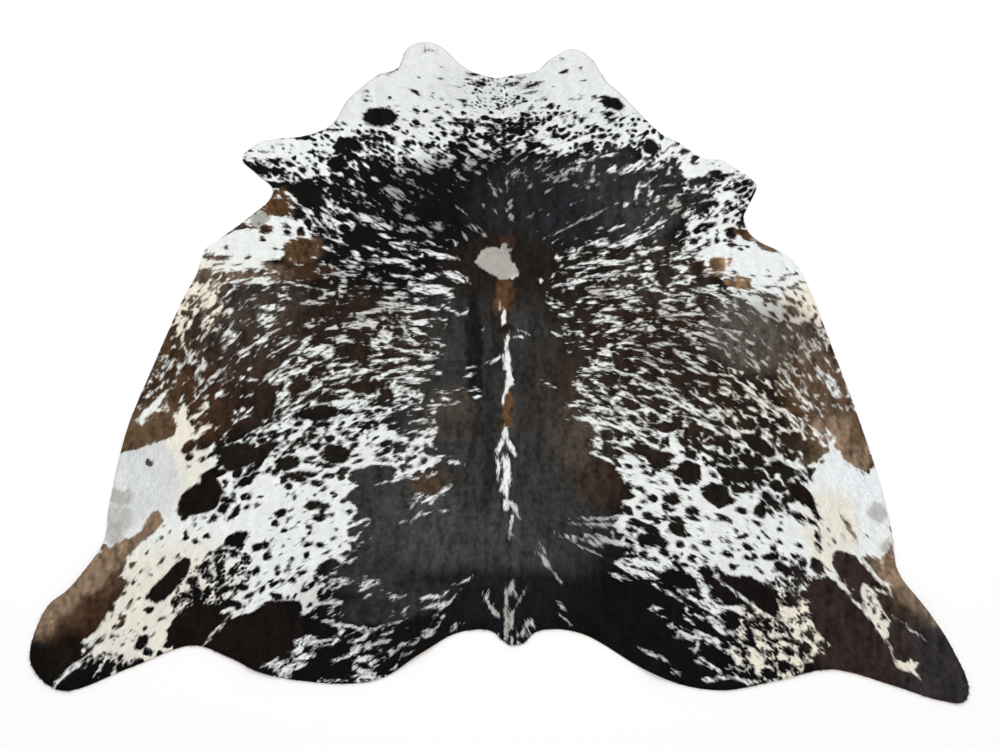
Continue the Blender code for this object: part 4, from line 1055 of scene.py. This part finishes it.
def makeMesh(name, points, triangles, normals=None):
    mesh = bpy.data.meshes.new(name)
    mesh.vertices.add(len(points))
    mesh.vertices.foreach_set("co", np.asarray(points, np.float32).ravel())
    mesh.loops.add(len(triangles) * 3)
    mesh.loops.foreach_set("vertex_index", np.asarray(triangles, np.int32).ravel())
    mesh.polygons.add(len(triangles))
    mesh.polygons.foreach_set("loop_start", np.arange(len(triangles), dtype=np.int32) * 3)
    mesh.update(calc_edges=True)
    mesh.shade_smooth()
    if normals is not None:
        mesh.normals_split_custom_set_from_vertices(normals.tolist())
    return addObject(name, mesh)


def addFlatMap(piece, flatPoints):
    # A map seen from above: the span of the points fills it from 0.01 to 0.99.
    mesh = piece.data
    low, high = flatPoints.min(axis=0), flatPoints.max(axis=0)
    places = np.zeros(len(mesh.vertices) * 3)
    mesh.vertices.foreach_get("co", places)
    corners = np.zeros(len(mesh.loops), int)
    mesh.loops.foreach_get("vertex_index", corners)
    share = (places.reshape(-1, 3)[:, :2] - low) / (high - low) * 0.98 + 0.01
    layer = mesh.uv_layers.new(name="OFBake")
    layer.data.foreach_set("uv", share[corners].astype(np.float32).ravel())


def addCoatValue(piece, name, kind, numbers):
    layer = piece.data.attributes.new(name, kind, "POINT")
    field = {"FLOAT": "value", "FLOAT_COLOR": "color", "FLOAT_VECTOR": "vector"}[kind]
    if kind == "FLOAT_COLOR":
        numbers = np.column_stack([numbers, np.ones(len(numbers))])
    layer.data.foreach_set(field, np.asarray(numbers, np.float32).ravel())


def coatValues(x, y):
    # What the coat is at each place: how far inside light hair, the dark hair's colours with their painted
    # sheen, the light hair's colours, and the way the hair points on the floor.
    across, down = chartPlace(x, y)
    field, pointing = lightField(across, down)
    aheadX, aheadY = hidePlace(across + pointing[0], down + pointing[1])
    hereX, hereY = hidePlace(across, down)
    lay = np.column_stack([aheadX - hereX, aheadY - hereY])
    lay /= np.linalg.norm(lay, axis=1)[:, None]
    # The dark hair's colours carry painted sheen: grey tones and a velvet-like mottle.
    dark = hairTone(across, down, "black", darkTonesAndSheen, coat["darkSheenMottle"])
    light = hairTone(across, down, "white", lightTones, coat["lightMottle"])
    return field, dark, light, lay


def coatTop(distance):
    # How high the mass of the hair stands over the leather's underside. It rises from the rim by
    # 1 - (1 - distance / fall)^2.
    inward = np.clip(distance / hide["rimFall"], 0, 1)
    return hide["leatherThickness"] + hide["hairHeight"] * (1 - (1 - inward) ** 2)


def surfaceNormals(x, y, span=0.004):
    # Straight up, tilted against the slope of restingHeight.
    slopeX = (restingHeight(x + span, y) - restingHeight(x - span, y)) / (2 * span)
    slopeY = (restingHeight(x, y + span) - restingHeight(x, y - span)) / (2 * span)
    normals = np.column_stack([-slopeX, -slopeY, np.ones(len(x))])
    return normals / np.linalg.norm(normals, axis=1)[:, None]


quarters = {
    "names": ("fore_left", "fore_right", "hind_left", "hind_right"),
    "split": -0.02,
}


def quarterOf(x, y):
    # Which quarter of the hide a place is in, as its number in quarters["names"].
    return (x > 0).astype(int) + 2 * (y < quarters["split"]).astype(int)


def makeLeather(rim):
    # The rim's flat sheet twice, a thickness apart, joined round the edge by a wall.
    outline = rim[::hide["leatherRimEvery"]]
    points, _ = sheetPoints(outline, hide["leatherStep"])
    faces = joinTriangles(points, len(outline))
    lower = np.column_stack([points, restingHeight(*points.T)])
    upper = lower + (0, 0, hide["leatherThickness"])
    count = len(points)
    here = np.arange(len(outline))
    there = np.roll(here, -1)
    wall = np.vstack([np.column_stack([here, there, there + count]),
                      np.column_stack([here, there + count, here + count])])
    piece = makeMesh("leather", np.vstack([lower, upper]), np.vstack([faces[:, ::-1], faces + count, wall]))
    addFlatMap(piece, points)
    return piece


def makeCoat(rim):
    # The mass of the hair: the sheet raised by coatTop, and cut into quarters.
    points, distance = sheetPoints(rim, hide["coatStep"])
    faces = joinTriangles(points, len(rim))
    field, dark, light, lay = coatValues(*points.T)
    # Painted shadow, with the dark cut edge, along the neck's rim.
    light = light * paintedRimShadow(chartPlace(*points.T)[1], distance)[:, None]
    normals = surfaceNormals(*points.T)
    places = np.column_stack([points, restingHeight(*points.T) + coatTop(distance)])
    faceQuarter = quarterOf(*points[faces].mean(axis=1).T)
    pieces = []
    for index, name in enumerate(quarters["names"]):
        used, renumbered = np.unique(faces[faceQuarter == index], return_inverse=True)
        piece = makeMesh("coat_" + name, places[used], renumbered.reshape(-1, 3), normals[used])
        addFlatMap(piece, points[used])
        addCoatValue(piece, "lightness", "FLOAT", field[used])
        addCoatValue(piece, "darkTone", "FLOAT_COLOR", dark[used])
        addCoatValue(piece, "lightTone", "FLOAT_COLOR", light[used])
        addCoatValue(piece, "lay", "FLOAT_VECTOR", np.column_stack([lay[used], np.zeros(len(used))]))
        pieces.append(piece)
    return pieces


hair = {
    "seed": 7,
    "spacing": 0.0052,          # between the roots of neighbouring locks
    "length": (0.009, 0.0145),
    "width": (0.0015, 0.0026),
    "thickness": 0.0009,
    "ridgeAt": 0.12,            # where along a lock it is thickest
    "readAt": 0.45,             # where along a lock its place on the coat is read
    "rise": (0.04, 0.12),       # how far the tip stands up for each unit of length
    "root": 0.0008,             # how deep a root stands in the coat
    "waver": 0.22,              # how far a lock strays from the lay, in radians
    "roundness": 0.5,           # how far a lock's sides are shaded aside
    "ridgeTilt": 0.2,           # and its ridge back, and its tip ahead
    "borderSpread": 0.7,        # how far light and dark locks mingle, in chart units
    "borderWidth": 0.5,
    "shadeSpread": 0.28,        # how much neighbouring locks differ in shade
    "shadeSpan": (0.5, 1.7),
    "lightSpread": 0.25,        # how much of that light locks do
    "lightTop": 1.05,
    "rimShort": 0.02,           # locks nearer the rim than this are shorter
    "rimShortest": 0.4,         # down to this share of their length
    "rimSetback": 0.0025,
    "rimBand": (0.4, 2.2),      # the span of the extra row at the rim, in setbacks
    "rimSpacing": 0.0016,
}


def lockRoots(rim):
    # Roots over the whole hide in shifted rows with seeded jitter, and one extra row along the rim.
    dice = np.random.default_rng(hair["seed"])
    points, _ = sheetPoints(rim, hair["spacing"])
    field = points[len(rim):] + dice.uniform(-0.5, 0.5, (len(points) - len(rim), 2)) * hair["spacing"]
    ends = np.roll(rim, -1, axis=0)
    count = int(np.linalg.norm(ends - rim, axis=1).sum() / hair["rimSpacing"])
    pick = dice.integers(0, len(rim), count)
    edge = rim[pick] + (ends - rim)[pick] * dice.uniform(0, 1, (count, 1))
    inward = np.column_stack([rim[:, 1] - ends[:, 1], ends[:, 0] - rim[:, 0]])[pick]
    inward /= np.linalg.norm(inward, axis=1)[:, None]
    edge += inward * dice.uniform(*hair["rimBand"], (count, 1)) * hair["rimSetback"]
    return np.vstack([field, edge]), dice


def makeHair(rim):
    # Each lock is a needle of four faces: two root corners, a ridge between them and a tip. The tip lies one
    # length along the lay and stands up by rise.
    roots, dice = lockRoots(rim)
    count = len(roots)
    distance = rimDistance(roots, rim)
    length = dice.uniform(*hair["length"], count)
    length *= np.clip(distance / hair["rimShort"] * (1 - hair["rimShortest"]) + hair["rimShortest"], 0, 1)
    lay = coatValues(*roots.T)[3]
    field, dark, light, _ = coatValues(*(roots + lay * length[:, None] * hair["readAt"]).T)
    # Painted shadow, with the dark cut edge, along the neck's rim.
    light = light * paintedRimShadow(chartPlace(*roots.T)[1], distance)[:, None]
    turn = dice.normal(0, hair["waver"], count)
    cosine, sine = np.cos(turn), np.sin(turn)
    along = np.column_stack([lay[:, 0] * cosine - lay[:, 1] * sine, lay[:, 0] * sine + lay[:, 1] * cosine])
    aside = np.column_stack([-along[:, 1], along[:, 0]])
    width = dice.uniform(*hair["width"], count)
    rise = dice.uniform(*hair["rise"], count)
    mass = coatTop(distance)

    def raised(flat, height):
        return np.column_stack([flat, restingHeight(*flat.T) + height])

    ground = mass - hair["root"]
    left = raised(roots + aside * width[:, None] / 2, ground)
    right = raised(roots - aside * width[:, None] / 2, ground)
    ridge = raised(roots + along * length[:, None] * hair["ridgeAt"], mass + hair["thickness"])
    tip = raised(roots + along * length[:, None], mass + rise * length)
    places = np.stack([left, right, ridge, tip], axis=1)
    up = surfaceNormals(*roots.T)
    ahead = np.column_stack([along, np.zeros(count)]) * hair["ridgeTilt"]
    leftward = np.column_stack([aside, np.zeros(count)]) * hair["roundness"]
    normals = np.stack([up + leftward, up - leftward, up - ahead, up + ahead], axis=1)
    normals /= np.linalg.norm(normals, axis=2)[:, :, None]
    faces = np.array([(0, 2, 3), (2, 1, 3), (1, 0, 3), (0, 1, 2)])

    mingled = field + dice.normal(0, hair["borderSpread"], count)
    isLight = np.clip(mingled / hair["borderWidth"] + 0.5, 0, 1)
    shade = np.clip(1 + dice.normal(0, hair["shadeSpread"], count), *hair["shadeSpan"])
    lightShade = np.minimum(1 + (shade - 1) * hair["lightSpread"], hair["lightTop"])
    tone = dark * (shade * (1 - isLight))[:, None] + light * (lightShade * isLight)[:, None]

    lockQuarter = quarterOf(*roots.T)
    pieces = []
    for index, name in enumerate(quarters["names"]):
        chosen = np.flatnonzero(lockQuarter == index)
        corners = places[chosen].reshape(-1, 3)
        triangles = (faces[None, :, :] + np.arange(len(chosen))[:, None, None] * 4).reshape(-1, 3)
        piece = makeMesh("hair_" + name, corners, triangles, normals[chosen].reshape(-1, 3))
        addFlatMap(piece, corners[:, :2])
        addCoatValue(piece, "hairTone", "FLOAT_COLOR", np.repeat(tone[chosen], 4, axis=0))
        pieces.append(piece)
        print(piece.name, len(triangles), "triangles")
    return pieces


def newMaterial(name, roughness, specular):
    material = bpy.data.materials.new(name)
    material.use_nodes = True
    shader = material.node_tree.nodes["Principled BSDF"]
    shader.inputs["Roughness"].default_value = roughness
    shader.inputs["Specular IOR Level"].default_value = specular
    return material, material.node_tree, shader


def newGroup(name, inputs, outputs):
    group = bpy.data.node_groups.new(name, "ShaderNodeTree")
    for way, sockets in (("INPUT", inputs), ("OUTPUT", outputs)):
        for label, kind in sockets:
            group.interface.new_socket(name=label, in_out=way, socket_type=kind)
    return group, group.nodes.new("NodeGroupInput"), group.nodes.new("NodeGroupOutput")


def attribute(tree, name, output):
    node = tree.nodes.new("ShaderNodeAttribute")
    node.attribute_name = name
    return node.outputs[output]


def mathNode(tree, operation, first, second=None, clamp=False):
    node = tree.nodes.new("ShaderNodeMath")
    node.operation = operation
    node.use_clamp = clamp
    tree.links.new(first, node.inputs[0])
    if isinstance(second, float):
        node.inputs[1].default_value = second
    elif second is not None:
        tree.links.new(second, node.inputs[1])
    return node.outputs[0]


def vectorNode(tree, operation, first, second):
    node = tree.nodes.new("ShaderNodeVectorMath")
    node.operation = operation
    tree.links.new(first, node.inputs[0])
    tree.links.new(second, node.inputs["Scale" if operation == "SCALE" else 1])
    return node.outputs[0]


def mixColours(tree, share, first, second):
    # The first colour where the share is 0, and the second where it is 1.
    node = tree.nodes.new("ShaderNodeMix")
    node.data_type = "RGBA"
    tree.links.new(share, node.inputs["Factor"])
    for socket, colour in ((node.inputs[6], first), (node.inputs[7], second)):
        if isinstance(colour, tuple):
            socket.default_value = (*colour, 1.0)
        else:
            tree.links.new(colour, socket)
    return node.outputs[2]


coatFinish = {
    "readAt": (-0.5, -0.25, 0.0, 0.25, 0.5),        # where along its length a streak's noise is read
    "contrast": 5.0,
    "fineStreaks": (420.0, 0.012),          # scale, and length in metres
    "strandStreaks": (900.0, 0.014),
    "borderSoftness": 1.0,      # half the width of a patch's border, in chart units
    "borderStreaks": 0.7,
    "shadeStreaks": 0.45,
    "roughness": 0.5,
    "specular": 0.04,
    "relief": 0.35,
    "reliefDepth": 0.0008,
}


def makeLayGroup():
    # Streaks along the hair: the same noise read at several steps along the lay, averaged, and spread out
    # round zero.
    group, given, result = newGroup(
        "streaks along the lay",
        [("Lay", "NodeSocketVector"), ("Scale", "NodeSocketFloat"), ("Length", "NodeSocketFloat")],
        [("Streaks", "NodeSocketFloat")])
    place = group.nodes.new("ShaderNodeTexCoord").outputs["Object"]
    total = None
    for step in coatFinish["readAt"]:
        reach = mathNode(group, "MULTIPLY", given.outputs["Length"], step)
        offset = vectorNode(group, "SCALE", given.outputs["Lay"], reach)
        noise = group.nodes.new("ShaderNodeTexNoise")
        noise.inputs["Detail"].default_value = 1.0
        group.links.new(vectorNode(group, "ADD", place, offset), noise.inputs["Vector"])
        group.links.new(given.outputs["Scale"], noise.inputs["Scale"])
        value = noise.outputs["Fac"]
        total = value if total is None else mathNode(group, "ADD", total, value)
    average = mathNode(group, "MULTIPLY", total, 1 / len(coatFinish["readAt"]))
    centred = mathNode(group, "SUBTRACT", average, 0.5)
    group.links.new(mathNode(group, "MULTIPLY", centred, coatFinish["contrast"]), result.inputs["Streaks"])
    return group


def makeCoatMaterial(layGroup):
    material, tree, shader = newMaterial("hair coat", coatFinish["roughness"], coatFinish["specular"])

    def streaks(scale, length):
        node = tree.nodes.new("ShaderNodeGroup")
        node.node_tree = layGroup
        tree.links.new(attribute(tree, "lay", "Vector"), node.inputs["Lay"])
        node.inputs["Scale"].default_value = scale
        node.inputs["Length"].default_value = length
        return node.outputs["Streaks"]

    fine = streaks(*coatFinish["fineStreaks"])
    strands = streaks(*coatFinish["strandStreaks"])
    frayed = mathNode(tree, "ADD", attribute(tree, "lightness", "Fac"),
                      mathNode(tree, "MULTIPLY", fine, coatFinish["borderStreaks"]))
    border = tree.nodes.new("ShaderNodeMapRange")
    border.interpolation_type = "SMOOTHSTEP"
    border.inputs["From Min"].default_value = -coatFinish["borderSoftness"]
    border.inputs["From Max"].default_value = coatFinish["borderSoftness"]
    tree.links.new(frayed, border.inputs["Value"])
    tone = mixColours(tree, border.outputs["Result"], attribute(tree, "darkTone", "Color"),
                      attribute(tree, "lightTone", "Color"))
    shade = mathNode(tree, "ADD", mathNode(tree, "MULTIPLY", strands, coatFinish["shadeStreaks"]), 1.0)
    tree.links.new(vectorNode(tree, "SCALE", tone, shade), shader.inputs["Base Color"])
    bump = tree.nodes.new("ShaderNodeBump")
    bump.inputs["Strength"].default_value = coatFinish["relief"]
    bump.inputs["Distance"].default_value = coatFinish["reliefDepth"]
    tree.links.new(strands, bump.inputs["Height"])
    tree.links.new(bump.outputs["Normal"], shader.inputs["Normal"])
    return material


def makeHairMaterial():
    material, tree, shader = newMaterial("hair locks", coatFinish["roughness"], coatFinish["specular"])
    tree.links.new(attribute(tree, "hairTone", "Color"), shader.inputs["Base Color"])
    return material


suede = {
    "colour": (0.52, 0.44, 0.35),
    "edgeColour": (0.42, 0.26, 0.15),
    "roughness": 0.95,
    "specular": 0.2,
    "mottleScale": 14.0,
    "mottleDetail": 6.0,
    "mottleStrength": 0.5,
}


def makeLeatherMaterial():
    # Suede underneath, and a darker tan on the cut edge, where the surface stands upright.
    material, tree, shader = newMaterial("flesh side", suede["roughness"], suede["specular"])
    mottle = tree.nodes.new("ShaderNodeTexNoise")
    mottle.inputs["Scale"].default_value = suede["mottleScale"]
    mottle.inputs["Detail"].default_value = suede["mottleDetail"]
    tree.links.new(tree.nodes.new("ShaderNodeTexCoord").outputs["Object"], mottle.inputs["Vector"])
    mottled = mathNode(tree, "MULTIPLY", mottle.outputs["Fac"], suede["mottleStrength"])
    shade = mathNode(tree, "ADD", mottled, 1 - suede["mottleStrength"] / 2)
    normal = tree.nodes.new("ShaderNodeSeparateXYZ")
    tree.links.new(tree.nodes.new("ShaderNodeNewGeometry").outputs["True Normal"], normal.inputs[0])
    level = mathNode(tree, "ABSOLUTE", normal.outputs["Z"], clamp=True)
    tone = mixColours(tree, level, suede["edgeColour"], suede["colour"])
    tree.links.new(vectorNode(tree, "SCALE", tone, shade), shader.inputs["Base Color"])
    return material


studio = {
    "eye": (0.01454, -1.40796, 1.74),
    "tilt": 32.0,               # up from straight down, in degrees
    "lens": 27.0,
    "filmWidth": 36.0,
    "floorReach": 14.0,
    "floorDrop": 0.0006,
    "floorShade": 0.96,
    "floorRoughness": 0.9,
    "skyStrength": 0.78,
    "lamp": ((0.0, 0.9, 3.0), 4.0, 55.0),   # place, side and power
}


def makeStage():
    floorMesh = bpy.data.meshes.new("floor")
    reach = studio["floorReach"]
    corners = [(-reach, -reach, 0), (reach, -reach, 0), (reach, reach, 0), (-reach, reach, 0)]
    floorMesh.from_pydata(corners, [], [(0, 1, 2, 3)])
    floorPlate = addObject("floor", floorMesh)
    floorPlate.location.z = -studio["floorDrop"]
    paint, _, shader = newMaterial("studio floor", studio["floorRoughness"], 0.0)
    shader.inputs["Base Color"].default_value = (studio["floorShade"],) * 3 + (1,)
    floorMesh.materials.append(paint)

    sky = bpy.data.worlds.new("studio")
    sky.use_nodes = True
    sky.node_tree.nodes["Background"].inputs["Color"].default_value = (1, 1, 1, 1)
    sky.node_tree.nodes["Background"].inputs["Strength"].default_value = studio["skyStrength"]
    bpy.context.scene.world = sky

    lampLight = bpy.data.lights.new("softbox", "AREA")
    place, lampLight.size, lampLight.energy = studio["lamp"]
    addObject("softbox", lampLight).location = place

    cameraData = bpy.data.cameras.new("camera")
    cameraData.lens = studio["lens"]
    cameraData.sensor_width = studio["filmWidth"]
    camera = addObject("camera", cameraData)
    camera.location = studio["eye"]
    camera.rotation_euler = (math.radians(studio["tilt"]), 0, 0)
    bpy.context.scene.camera = camera
    bpy.context.scene.view_settings.view_transform = "Standard"


rim = smoothRim(frameRim(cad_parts["hide"]), hide["rimStep"])
print("outline of", len(rim), "points")

leather = makeLeather(rim)
leather.data.materials.append(makeLeatherMaterial())
print("leather made")

layGroup = makeLayGroup()
coatMaterial = makeCoatMaterial(layGroup)
for piece in makeCoat(rim):
    piece.data.materials.append(coatMaterial)
    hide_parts("hide")
    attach(piece, "root")
print("coat made")

hairMaterial = makeHairMaterial()
for piece in makeHair(rim):
    piece.data.materials.append(hairMaterial)
    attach(piece, "root")
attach(leather, "root")
print("hair made")

makeStage()
